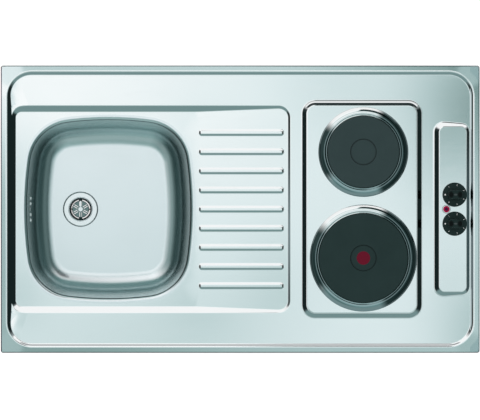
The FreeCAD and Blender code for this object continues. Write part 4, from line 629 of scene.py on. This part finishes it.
def draw_bowl():
    """The bowl's inside: its side as courses of quads, the slotted window, the floor and the recess."""
    rows = bowl_profile()
    points, facings, faces = [], [], []
    count = len(bowl_loop(0)[0])
    for grow, level, out, up in rows:
        plan, ahead = bowl_loop(grow)
        points.append(at_level(plan, FIELD_FLOOR + level))
        facings.append(at_level(ahead * out, up))
    reach = [abs(y) < WINDOW_REACH for y in points[20][:, 1]]
    left = [step for step in range(count) if points[0][step][0] < BOWL_X and reach[step]]
    first, last = left[0], left[-1]
    window_row = next(place for place, row in enumerate(rows) if row[1] == WINDOW_TOP)
    for row in range(len(rows) - 1):
        low = list(range(row * count, (row + 1) * count))
        course = quads(low, [corner + count for corner in low])
        faces += course[:first] + course[last:] if row == window_row else course
    points, facings = np.concatenate(points), np.concatenate(facings)

    upper = [window_row * count + step for step in range(first, last + 1)]
    border = upper + [corner + count for corner in reversed(upper)]
    edge = points[border][:, 1:]
    slots = [loop_round(slot, 0, 2, 4, 6) for slot in slot_outlines()]
    slots.append(circle_round(0, FIELD_FLOOR - OVERFLOW_DROP, SCREW_HOLE, 16))
    flat, triangles = fill_between([edge] + slots, edge, slots)
    faces += sewn(flat, triangles, edge, border, len(points))
    wall_x, turn = left_wall(flat[:, 0], flat[:, 1])
    out = np.stack([np.cos(turn), -np.sin(turn)], axis=1) * math.cos(DRAFT)
    points = np.concatenate([points, np.column_stack([wall_x, flat])])
    facings = np.concatenate([facings, at_level(out, math.sin(DRAFT))])

    corners = list(range((len(rows) - 1) * count, len(rows) * count))
    floor_loop, level = points[corners][:, :2], FIELD_FLOOR - BOWL_DEPTH
    outer, sides = RECESS_RADIUS + RECESS_RUN - 1, 96
    rim, apron = (circle_round(WASTE_X, 0, outer + grow, sides) for grow in (0, APRON))
    flat, triangles = fill_between([floor_loop, apron, rim], floor_loop, [rim])
    faces += sewn(flat, triangles, floor_loop, corners, len(points))
    index = {spot(place): len(points) + corner for corner, place in enumerate(flat)}
    above = [index[spot(place)] for place in rim]
    points = [points, at_level(flat, level)]
    facings = [facings, at_level(np.zeros_like(flat), 1.0)]
    slope = []
    for share in np.linspace(0, 1, 9)[1:]:
        steep = 6 * share * (1 - share) * RECESS_DROP / RECESS_RUN
        fall = RECESS_DROP * share * share * (3 - 2 * share)
        slope.append((outer - RECESS_RUN * share, fall, steep / math.hypot(1, steep), 1 / math.hypot(1, steep)))
    total = len(points[0]) + len(flat)
    for radius, fall, lean, up in slope + [(WASTE_HOLE, RECESS_DROP, 0, 1)]:
        points.append(at_level(circle_round(WASTE_X, 0, radius, sides), level - fall))
        facings.append(at_level(-lean * circle_round(0, 0, 1, sides), up))
        below = list(range(total, total + sides))
        total += sides
        faces += quads(above, below)
        above = below
    return np.concatenate(points), np.concatenate(facings), faces


# The two wall tones given here are painted shade on the bowl's walls.
satin = steel(
    "satin_stainless", (0.86, 0.895, 0.915), rough=0.24, brush=0.006, dent=0.1, sides=(0.22, 0.31, 0.31),
    painted_front_shade=(0.54, 0.67, 0.67), upright=(0.0, 0.1), lean=(0.03, 0.36), corner=(0.25, 0.95), skew=0.1, wiped=0.2,
)
# Painted shade laid over the bowl: a dark line just below its mouth, darker bands on parts of the mouth's roll, and a
# darker tone on the walls that face the back.
start = Wire(satin.node_tree)
drop = FIELD_FLOOR - start.place()[2]
to_right, to_back, _ = start.facing()
lay_over(
    satin,
    (drop.between(2.8, 3.4) * drop.until(4.4, 5.2), (0.08, 0.12, 0.12)),
    (drop.between(0.6, 1.6) * drop.until(8, 14) * (-to_right).between(0.2, 0.6), (0.09, 0.13, 0.13)),
    (to_back.between(0.38, 0.62), (0.44, 0.57, 0.57)),
    (drop.between(2.2, 3.0) * drop.until(6.5, 7.5) * to_back.between(0.2, 0.5), (0.04, 0.07, 0.07)),
)
bowl = sheet_metal("drawn_bowl", *draw_bowl())
bowl.data.materials.append(satin)
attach(bowl, "top")
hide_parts("sink_bowl")

SLOT_RIM, SLOT_PROUD = 1.8, 1.5
rim_shape = bmesh.new()
for slot in slot_outlines():
    rings = []
    for turn in np.linspace(0, math.pi, 9):
        loop = loop_round(slot, SLOT_RIM / 2 * (math.cos(turn) - 1), 2, 4, 6)
        wall_x = left_wall(loop[:, 0], loop[:, 1])[0] + SLOT_PROUD * math.sin(turn)
        rings.append([rim_shape.verts.new(Vector(point) * MM) for point in np.column_stack([wall_x, loop])])
    for first, second in zip(rings, rings[1:]):
        for face in quads(first, second):
            rim_shape.faces.new(face)
bmesh.ops.recalc_face_normals(rim_shape, faces=rim_shape.faces)
rims = built("overflow_slot_rims", rim_shape, smooth=True)
material, start, surface = finish("rolled_steel", Metallic=1.0, Base_Color=(0.95, 0.96, 0.96))
start.feed(surface["Roughness"], 0.1 + 0.1 * grain(start, 200))
rims.data.materials.append(material)
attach(rims, "top")


# --- Damping pads ---
# Bitumen sheets pressed on below the bowl's floor and the drainer to deaden the sound of water.
material = clouded(
    "bitumen_sheet", (0.018, 0.017, 0.016), (0.05, 0.048, 0.045), (700, 3), 0.62, 0.25, 300, 0.6, 0.4,
    Specular_IOR_Level=0.35,
)
dress(material, "bowl_damping_pad", "drainer_damping_pad")


# --- Waste ---
# A polished flange and a strainer plate with six raised arms, drawn down by a screw into a white
# plastic body below the bowl; rubber seals lie on both sides of the bowl's floor.
def polished(name, colour=(0.86, 0.87, 0.88), rough=0.09):
    """Polished metal with the faint haze of handling."""
    material, start, surface = finish(name, Metallic=1.0)
    haze = grain(start, 60, detail=4)
    tone = blend(start, haze, colour, tuple(0.94 * c for c in colour))
    coat(start, surface, tone, rough + 0.09 * haze.between(0.45, 0.8), grain(start, 40), 0.15, 0.3)
    return material


def moulded(name, colour, rough=0.42, texture=0.25, tint=0.9, gloss=0.5):
    """Injection-moulded plastic: a fine spark-eroded texture with soft clouding."""
    shade = tuple(tint * c for c in colour)
    return clouded(name, colour, shade, (30, 3), rough, 0.1, 2400, texture, 0.1, Specular_IOR_Level=gloss)


bright = polished("polished_steel")
dress(bright, "strainer_screw", "overflow_screw", "hose_clips", "back_knob_spring", "front_knob_spring")

material, start, surface = finish("waste_steel", Metallic=1.0)
radius = start.round_centre(WASTE_X, 0)[2]
haze = grain(start, 90, detail=4)
# Painted shade in the pit round the strainer: a near-black ring as the pit's painted shadow, and the strainer plate
# inside it a darker painted grey.
plate = FIELD_FLOOR - BOWL_DEPTH - RECESS_DROP
pit = radius.until(23.6, 24.6) * start.place()[2].until(plate - 3.1, plate - 2.5)
painted_pit_shade = blend(start, radius.until(16.4, 17.2), (0.016, 0.028, 0.03), (0.18, 0.25, 0.25))
tone = blend(start, pit, blend(start, haze, (0.90, 0.91, 0.92), (0.83, 0.85, 0.86)), painted_pit_shade)
coat(start, surface, tone, 0.1 + 0.08 * haze + 0.2 * pit, grain(start, 60), 0.15, 0.3)
dress(material, "waste_flange", "strainer_grid")
dress(moulded("drain_white", (0.78, 0.78, 0.75)), "waste_body", "overflow_housing")

material = clouded(
    "seal_rubber", (0.016, 0.016, 0.017), (0.04, 0.04, 0.042), (120, 4), 0.55, 0.2, 900, 0.3, 0.2,
    Specular_IOR_Level=0.3,
)
dress(material, "waste_top_seal", "waste_bottom_seal", "overflow_seal")
dress(material, "back_plate_seal", "front_plate_seal", "knob_seals")


# --- Overflow hose ---
# A blow-moulded hose with smooth cuffs pushed over both spigots and ribs between them, so that it
# bends under the bowl's corner without flattening.
HOSE_TOP, HOSE_CORNER = Vector((-452.14, 0, -44.68)), Vector((-437.62, 0, -148))
HOSE_END = Vector((-365.2, 0, -148))
HOSE_BEND, HOSE_VALLEY, HOSE_CREST, HOSE_PITCH, HOSE_CUFF = 42, 10, 11.6, 5, 23
down = (HOSE_CORNER - HOSE_TOP).normalized()
inward = (HOSE_END - HOSE_CORNER).normalized()
hose_turn = down.angle(inward)
tangent = HOSE_BEND * math.tan(hose_turn / 2)
handle = HOSE_BEND * 4 / 3 * math.tan(hose_turn / 4)
route = bpy.data.curves.new("hose_route", "CURVE")
route.dimensions = "3D"
route.resolution_u = 40
spline = route.splines.new("BEZIER")
spline.bezier_points.add(3)
bend_start, bend_end = HOSE_CORNER - down * tangent, HOSE_CORNER + inward * tangent
stations = [
    (HOSE_TOP, HOSE_TOP - down, HOSE_TOP + down * 5),
    (bend_start, bend_start - down * 5, bend_start + down * handle),
    (bend_end, bend_end - inward * handle, bend_end + inward * 5),
    (HOSE_END, HOSE_END - inward * 5, HOSE_END + inward),
]
for knot, (place, before, after) in zip(spline.bezier_points, stations):
    knot.handle_left_type = knot.handle_right_type = "FREE"
    knot.co, knot.handle_left, knot.handle_right = place * MM, before * MM, after * MM
carrier = put("hose_route", route)
centre = [vertex.co / MM for vertex in bpy.data.meshes.new_from_object(carrier).vertices]
bpy.data.objects.remove(carrier)
lengths = np.concatenate([[0], np.cumsum([(b - a).length for a, b in zip(centre, centre[1:])])])
centre = np.array([tuple(point) for point in centre])
hose_length = float(lengths[-1])
ribs = int((hose_length - 2 * HOSE_CUFF) / HOSE_PITCH)


def hose_radius(distance):
    """Smooth on the cuffs, with rounded crests and narrow valleys between."""
    travel = distance - HOSE_CUFF
    if travel < 0 or travel > ribs * HOSE_PITCH:
        return HOSE_VALLEY
    phase = (travel % HOSE_PITCH) / HOSE_PITCH
    swell = 0.5 - 0.5 * math.cos(2 * math.pi * phase)
    return HOSE_VALLEY + (HOSE_CREST - HOSE_VALLEY) * swell**0.6


def on_route(distance):
    """The place on the hose's centre line at a distance from its top."""
    return Vector([float(np.interp(distance, lengths, centre[:, axis])) for axis in range(3)])


hose_shape, to_back = bmesh.new(), Vector((0, 1, 0))
rings, steps, sides = [], 360, 40
for step in range(steps + 1):
    distance = hose_length * step / steps
    across = to_back.cross((on_route(distance + 1) - on_route(distance - 1)).normalized()).normalized()
    ring = []
    for side in range(sides):
        turn = 2 * math.pi * side / sides
        out = across * math.cos(turn) + to_back * math.sin(turn)
        ring.append(hose_shape.verts.new((on_route(distance) + hose_radius(distance) * out) * MM))
    rings.append(ring)
for end in (0, -1):
    middle = sum((vertex.co for vertex in rings[end]), Vector()) / sides
    mouth = [hose_shape.verts.new(middle + (vertex.co - middle) * 0.9) for vertex in rings[end]]
    rings.insert(0 if end == 0 else len(rings), mouth)
for first, second in zip(rings, rings[1:]):
    for face in quads(first, second):
        hose_shape.faces.new(face)
bmesh.ops.recalc_face_normals(hose_shape, faces=hose_shape.faces)
hose = built("ribbed_hose", hose_shape, smooth=True)
hose.data.materials.append(moulded("hose_grey", (0.60, 0.61, 0.60), rough=0.38))
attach(hose, "top")
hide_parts("overflow_hose")


# --- Hotplates ---
# Two cast-iron plates, turned on top, each in a polished stainless spill ring and held from below
# by a clamp bridge on a central stud. The front one is the fast plate with the red centre.
def turned_iron(name, centre, sheen, light, dark, spot):
    """Turned and blackened iron: fine grooves round the centre, a worn sheen and a plain recess, with a dark ring
    painted at the recess's edge as painted shade.
    """
    material, start, surface = finish(name, Metallic=0.35, Specular_IOR_Level=sheen)
    radius = start.round_centre(*centre)[2]
    cloud = grain(start, 22, detail=4)
    iron = blend(start, cloud, light, dark)
    # painted shade: a dark ring at the recess's edge
    iron = blend(start, radius.between(24.5, 26.2) * radius.until(27.2, 28) * 0.6, iron, (0.006, 0.012, 0.012))
    if spot:
        iron = blend(start, radius.until(13.5, 14.5), iron, (0.135, 0.004, 0.018))
    grooves = start.maths("SINE", radius * 5.2) * 0.5 + grain(start, 900, detail=3) * 0.9
    coat(start, surface, iron, 0.42 + 0.14 * cloud, grooves, 0.35, 0.12)
    return material


RING_WIDTH, RING_BASE = 19, DECK_TOP + HOB_RISE
RING_BEAD = [
    (0.1, 4.3), (0.5, 4.75), (0.9, 5.05), (1.3, 5.2), (1.7, 5.15), (2.0, 4.95), (2.4, 4.9), (3.6, 5.15), (4.3, 5.35),
    (4.6, 5.7), (4.9, 5.9), (5.6, 5.97),
]


def spill_ring(name, middle_x, middle_y, plate_radius, sides=160):
    """A pressed ring: an inner bead and step beside the plate, then a full round back to its toe."""
    section = RING_BEAD + [(7 + 11.7 * share, 5.95 - 5 * share**2.3) for share in np.linspace(0, 1, 18)]
    section = np.array(section + [(18.95, 0.6), (RING_WIDTH, 0.3), (RING_WIDTH, 0)])
    lean = np.gradient(section, axis=0)
    lean = lean / np.linalg.norm(lean, axis=1)[:, None]
    points, facings, faces = [], [], []
    for (run, rise), (ahead, climb) in zip(section, lean):
        points.append(at_level(circle_round(middle_x, middle_y, plate_radius + run, sides), RING_BASE + rise))
        facings.append(at_level(-climb * circle_round(0, 0, 1, sides), ahead))
    for course in range(len(section) - 1):
        low = list(range(course * sides, (course + 1) * sides))
        faces += quads(low, [corner + sides for corner in low], outward=True)
    return sheet_metal(name, np.concatenate(points), np.concatenate(facings), faces)


def ring_finish(name, centre, plate_radius):
    """Bright pressed steel with painted reflections: painted shade towards the front and dark painted reflections
    round its sides, with fine pale painted highlight lines on its bead and crown.
    """
    material, start, surface = finish(name, Metallic=1.0)
    across, along, radius = start.round_centre(*centre)
    right, back, run = across / radius, along / radius, radius - plate_radius
    haze = grain(start, 60, detail=4)
    tone = blend(start, haze, (0.88, 0.90, 0.90), (0.83, 0.85, 0.85))
    # painted shade on the half that faces the front
    tone = blend(start, (-back).between(0.25, 0.75), tone, (0.30, 0.4, 0.41))
    # painted highlight lines, and dark painted reflections round the sides
    lines = run.between(1.4, 1.8) * run.until(2.4, 2.8) + 0.6 * run.between(5.6, 6.2) * run.until(7.2, 8.2)
    lines = lines + 0.7 * run.between(16.4, 17.1) * run.until(17.7, 18.4)
    dark = blend(start, lines, (0.025, 0.045, 0.045), (0.28, 0.35, 0.36))
    tone = blend(start, right.between(0.3, 0.5).or_more((-right).between(0.7, 0.88)), tone, dark)
    coat(start, surface, tone, 0.06 + 0.08 * haze.between(0.45, 0.8), grain(start, 40), 0.15, 0.3)
    return material


IRON = {
    "back": (0.3, (0.029, 0.053, 0.054), (0.022, 0.043, 0.044)),
    "front": (0.12, (0.021, 0.041, 0.040), (0.015, 0.032, 0.031)),
}
for name, (plate_x, plate_y, plate_radius) in PLATES.items():
    dress(turned_iron(f"{name}_plate_iron", (plate_x, plate_y), *IRON[name], name == "front"), f"{name}_hotplate")
    ring = spill_ring(f"{name}_pressed_ring", plate_x, plate_y, plate_radius)
    ring.data.materials.append(ring_finish(f"{name}_ring_steel", (plate_x, plate_y), plate_radius))
    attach(ring, "top")
    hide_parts(f"{name}_spill_ring")
dress(galvanised, "back_plate_cover", "front_plate_cover", "back_clamp_bridge", "front_clamp_bridge")

material, start, surface = finish("heater_ceramic", Specular_IOR_Level=0.3)
chalk = grain(start, 160, detail=4)
coat(start, surface, blend(start, chalk, (0.72, 0.68, 0.60), (0.58, 0.54, 0.47)), 0.7 + 0.2 * chalk, chalk, 0.4, 0.3)
dress(material, "back_heating_elements", "front_heating_elements")
dress(material, "back_terminal_block", "front_terminal_block", "front_heat_limiter")

zinc = clouded("zinc_plate", (0.66, 0.65, 0.58), (0.58, 0.62, 0.63), (50, 3), 0.3, 0.12, 1500, 0.2, Metallic=0.9)
dress(zinc, "plate_studs", "plate_nuts", "switch_screws", "tray_studs", "tray_nuts")
dress(zinc, "back_switch_shaft", "front_switch_shaft")


# --- Controls ---
# Two black knobs with a grip bar and printed marks turn the rotary switches that hang below the
# strip; between the two stands a red pilot lamp in a bright bezel.
knob_black = moulded("knob_black", (0.009, 0.020, 0.019), rough=0.32, texture=0.2, tint=1.4, gloss=0.07)
start = Wire(knob_black.node_tree)
x, y, z = start.place()
# Painted light on the grip: painted shade in the finger hollows, painted highlight lines along its sides and a
# painted highlight spot in its middle.
along, across = x - (STRIP[0] + 5.4), abs(y) - DIAL_Y
beside, away = abs(across), abs(along) - 9.5
on_grip = z.between(60.5, 62.5)
painted_hollow_shade = 0.9 * ((away * away + across * across * 0.7) ** 0.5).until(3, 7.5)
painted_side_highlight = beside.between(8.4, 9) * beside.until(9.8, 10.4) * z.between(55, 58) * abs(along).until(9, 13)
middle = ((along * along * 0.5 + across * across * 2.0) ** 0.5).until(1.8, 3.4)
lay_over(
    knob_black,
    (on_grip * painted_hollow_shade, (0.001, 0.002, 0.002)),
    (painted_side_highlight, (0.06, 0.085, 0.085)),
    (on_grip * middle, (0.05, 0.065, 0.065)),
)
dress(knob_black, "back_knob", "front_knob")
switch_grey = moulded("switch_grey", (0.10, 0.10, 0.10))
dress(switch_grey, "back_switch_base", "front_switch_base", "back_switch_cover", "front_switch_cover", "lamp_body")
dress(moulded("cam_natural", (0.74, 0.72, 0.64)), "back_switch_cam", "front_switch_cam")
dress(polished("contact_brass", (0.80, 0.62, 0.30), 0.2), "back_switch_contacts", "front_switch_contacts")

lamp_low, lamp_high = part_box("lamp_lens")
lamp_x = (lamp_low.x + lamp_high.x) / 2 / MM
material, start, surface = finish("lamp_red", Coat_Weight=0.05, Specular_IOR_Level=0.1)
core = start.round_centre(lamp_x, 0)[2].until(3, 4.2)
tone = blend(start, core, (0.36, 0.003, 0.05), (0.045, 0.001, 0.03))
coat(start, surface, tone, 0.14 + 0.1 * grain(start, 400), grain(start, 700), 0.2)
dress(material, "lamp_lens")

material, start, surface = finish("bezel_chrome", Metallic=1.0)
# painted shade: a dark outer rim on the bright bezel
outer = start.round_centre(lamp_x, 0)[2].between(7.9, 8.3)
coat(start, surface, blend(start, outer, (0.95, 0.94, 0.95), (0.012, 0.012, 0.016)), 0.05 + 0.06 * grain(start, 300))
dress(material, "lamp_bezel")

SKIRT = ((24.2, 5.4), (15.2, 8))
MARKS, MARK_RADIUS, MARK_SIZE, MARK_SPOT, INK = 7, 20.3, 4.4, 1.5 * MM, 0.04
skirt_slope = math.atan((SKIRT[1][1] - SKIRT[0][1]) / (SKIRT[0][0] - SKIRT[1][0]))
mark_level = SKIRT[0][1] + (SKIRT[0][0] - MARK_RADIUS) * math.tan(skirt_slope)
strip_frame = Matrix.Translation(Vector((STRIP[0], 0, STRIP_LEVEL)) * MM)
strip_frame = strip_frame @ Matrix.Rotation(math.atan(STRIP_SLOPE), 4, "Y")
white_ink = clouded("printed_white", (0.86, 0.87, 0.86), (0.74, 0.76, 0.75), (900, 3), 0.5, 0.15)


def printed(mark):
    """The flat shape of a digit, or of the round spot at the off position."""
    shape = bmesh.new()
    if mark == 0:
        size = {"radius1": MARK_SPOT, "radius2": MARK_SPOT, "depth": 2 * INK * MM}
        bmesh.ops.create_cone(shape, cap_ends=True, segments=32, **size)
        return shape
    text = bpy.data.curves.new("digit", "FONT")
    text.body, text.size, text.extrude = str(mark), MARK_SIZE * MM, INK * MM
    text.align_x, text.align_y = "CENTER", "CENTER"
    carrier = put("digit", text)
    shape.from_mesh(bpy.data.meshes.new_from_object(carrier))
    bpy.data.objects.remove(carrier)
    return shape


for name, side in (("back", 1), ("front", -1)):
    marks = bmesh.new()
    on_dial = strip_frame @ Matrix.Translation(Vector((DIAL_X, side * DIAL_Y, 0)) * MM)
    on_skirt = Matrix.Translation(Vector((MARK_RADIUS, 0, mark_level)) * MM) @ Matrix.Rotation(skirt_slope, 4, "Y")
    for mark in range(MARKS):
        shape = printed(mark)
        turned = Matrix.Rotation(math.pi - mark * 2 * math.pi / MARKS, 4, "Z")
        shape.transform(on_dial @ turned @ on_skirt @ Matrix.Rotation(-math.pi / 2, 4, "Z"))
        digit = bpy.data.meshes.new("digit")
        shape.to_mesh(digit)
        shape.free()
        marks.from_mesh(digit)
    print_piece = built(f"{name}_knob_marks", marks)
    print_piece.data.materials.append(white_ink)
    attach(print_piece, f"{name}_dial")


# --- Electrics tray ---
# A galvanised tray on welded studs closes the space below the hob and the controls; the supply
# enters through a gland in its back wall and ends at the mains terminal.
dress(galvanised, "electrics_tray")
dress(moulded("gland_grey", (0.30, 0.31, 0.32)), "cable_gland", "gland_nut")
dress(moulded("terminal_white", (0.80, 0.80, 0.77)), "mains_terminal")

material, start, surface = finish("wire_sleeve", Specular_IOR_Level=0.3)
wave = {"Vector": start.node("TexCoord", output="Object"), "Scale": 260.0, "Distortion": 1.5, "Detail": 2.0}
weave = start.node("TexWave", wave, output="Fac", bands_direction="DIAGONAL")
coat(start, surface, blend(start, weave, (0.62, 0.58, 0.48), (0.80, 0.77, 0.68)), 0.75 + 0.1 * weave, weave, 0.6, 0.3)
dress(material, "plate_wiring", "supply_wiring")


# --- Studio ---
# A pale floor, a ceiling whose soft tones the sheet mirrors, and three panels at the sides that draw
# its bends and walls. Only the floor is seen by the camera.
def stage_plane(name, centre, size, turn=(0, 0, 0)):
    """A flat panel of the studio, in metres."""
    half_x, half_y = size[0] / 2, size[1] / 2
    mesh = bpy.data.meshes.new(name)
    corners = [(-half_x, -half_y, 0), (half_x, -half_y, 0), (half_x, half_y, 0), (-half_x, half_y, 0)]
    mesh.from_pydata(corners, [], [(0, 1, 2, 3)])
    panel = put(name, mesh)
    panel.location, panel.rotation_euler = centre, turn
    return panel


def glow(name, panel):
    """An emitting finish for a panel that the camera doesn't see."""
    material = bpy.data.materials.new(name)
    material.use_nodes = True
    tree = material.node_tree
    tree.nodes.clear()
    output = tree.nodes.new("ShaderNodeOutputMaterial")
    emission = tree.nodes.new("ShaderNodeEmission")
    tree.links.new(emission.outputs[0], output.inputs["Surface"])
    panel.data.materials.append(material)
    panel.visible_camera = panel.visible_shadow = panel.visible_diffuse = False
    return Wire(tree), emission.inputs


floor = stage_plane("floor", (0, 0, cad_box[0].z), (14, 14))
material, start, surface = finish("floor_pale", Base_Color=(0.42, 0.43, 0.43), Roughness=0.9, Emission_Strength=1.0)
seen = start.node("LightPath", output="Is Camera Ray")
start.feed(surface["Emission Color"], blend(start, seen, (0.0, 0.0, 0.0), (0.8, 0.8, 0.8)))
floor.data.materials.append(material)

CEILING = 3.0
ROOM_SIDE, ROOM_FRONT, ROOM_BACK = 2.2, -2.0, 4.0
ceiling_size = (2 * ROOM_SIDE, ROOM_BACK - ROOM_FRONT)
ceiling = stage_plane("ceiling", (0, (ROOM_FRONT + ROOM_BACK) / 2, CEILING), ceiling_size, (math.pi, 0, 0))
start, emission = glow("ceiling_light", ceiling)
card_x, card_y, _ = start.split("NewGeometry", "Position")
aside, deep, in_front = abs(card_x), abs(card_y), -card_y


def patch(x, y, width, depth):
    """A soft round patch on the ceiling: 1 in its middle, fading out."""
    across, along = (card_x - x) / width, (card_y - y) / depth
    return math.e ** -(across * across + along * along)


light = 0.82
for change, x, y, width, depth in (
    (0.16, -0.50, 0.30, 0.44, 0.28), (-0.12, -0.24, -0.30, 0.34, 0.2), (-0.09, 0.2, 0.28, 0.11, 0.11),
    (-0.60, 0.565, 0.23, 0.145, 0.2), (-0.40, 0.567, -0.288, 0.1, 0.16), (-0.05, -0.056, -0.296, 0.16, 0.16),
    (-0.13, -0.085, -0.175, 0.08, 0.09), (-0.05, 0.33, 0.264, 0.12, 0.09), (-0.24, -0.515, 0.09, 0.05, 0.09),
    (-0.22, -0.515, -0.19, 0.05, 0.07), (-0.1, -0.515, -0.05, 0.05, 0.09), (-0.05, -0.085, -0.06, 0.08, 0.06),
    (-0.06, -0.085, 0.19, 0.08, 0.05), (-0.04, 0.12, -0.175, 0.1, 0.1),
):
    light = light + change * patch(x, y, width, depth)
to_right, to_front, middle = card_x.between(-0.1, 0.1), in_front.between(-0.05, 0.12), aside.until(1.0, 1.25)
left_edge = 0.42 + 0.05 * card_y.between(-0.2, 0.0) + 0.5 * card_y.between(0.0, 0.32)
right_edge = 0.60 - 0.33 * card_y.between(0.02, 0.26) - 0.03 * in_front.between(0.04, 0.2)
back_tone = 0.60 + 0.03 * card_x.between(-0.4, 0.0) - 0.35 * card_x.between(0.08, 0.56)
corners = aside.between(0.72, 0.86) * aside.until(1.3, 1.5) * deep.between(0.55, 0.7) * deep.until(1.15, 1.35)
for aim, share in (
    (1.0 - 0.34 * to_front * (1 - to_right), aside.between(0.58, 0.72)),
    (0.76 - 0.37 * card_y.between(-0.02, 0.2) - 0.06 * in_front.between(0.08, 0.16), card_x.between(0.76, 0.82)),
    (0.95, card_x.between(1.0, 1.08)),
    (left_edge + (right_edge - left_edge) * to_right, aside.between(1.18, 1.3)),
    (1.0 - to_right, aside.between(1.65, 1.8)),
    (1.0, card_y.between(0.42, 0.54) * middle),
    (back_tone, card_y.between(0.98, 1.06) * middle),
    (1.0 - card_x.between(0.0, 0.12), card_y.between(1.4, 1.55)),
    (0.32 + 0.20 * card_x.between(-0.4, 0.2), in_front.between(0.5, 0.65) * middle),
    (0.82 - 0.36 * to_right.or_more(to_front), corners),
):
    light = light + (aim - light) * share
tones = (
    (0.0, (0.014, 0.026, 0.028)), (0.3, (0.23, 0.35, 0.34)), (0.55, (0.45, 0.6, 0.6)),
    (0.8, (0.77, 0.88, 0.89)), (1.0, (1.04, 1.06, 1.06)),
)
start.feed(emission["Color"], start.node("ValToRGB", {0: light}, stops=tones))

for name, centre, size, turn, shade in (
    ("left_wall", (-ROOM_SIDE, -0.7, 0.7), (1.6, 2.6), (0, math.pi / 2, 0), (0.44, 0.50, 0.50)),
    ("right_wall", (ROOM_SIDE, -0.08, 1.45), (3.1, 3.84), (0, -math.pi / 2, 0), (0.44, 0.50, 0.50)),
    ("front_wall", (0, ROOM_FRONT, 1.45), (2 * ROOM_SIDE, 3.1), (-math.pi / 2, 0, 0), (0.50, 0.58, 0.58)),
):
    panel = stage_plane(name, centre, size, turn)
    start, emission = glow(name + "_tone", panel)
    emission["Color"].default_value = (*shade, 1)

world = bpy.data.worlds.new("studio")
bpy.context.scene.world = world
world.use_nodes = True
sky = Wire(world.node_tree)
above = sky.split("TexCoord", "Generated")[2].between(-0.05, 0.12)
haze = blend(sky, above, (0.35, 0.39, 0.39), (1.0, 1.0, 1.0))
background = world.node_tree.nodes["Background"].inputs
sky.feed(background["Color"], blend(sky, sky.node("LightPath", output="Is Glossy Ray"), (1.0, 1.0, 1.0), haze))
background["Strength"].default_value = 1.0

CAMERA_DISTANCE, VIEW_WIDTH, SENSOR = 30.0, 1.00248, 36
camera = put("camera", bpy.data.cameras.new("camera"))
camera.data.sensor_width = SENSOR
camera.data.lens = SENSOR * CAMERA_DISTANCE / VIEW_WIDTH
camera.data.clip_end = 100
camera.location = (-0.0004, -0.0017, DECK_TOP * MM + CAMERA_DISTANCE)
bpy.context.scene.camera = camera
bpy.context.scene.view_settings.view_transform = "Standard"
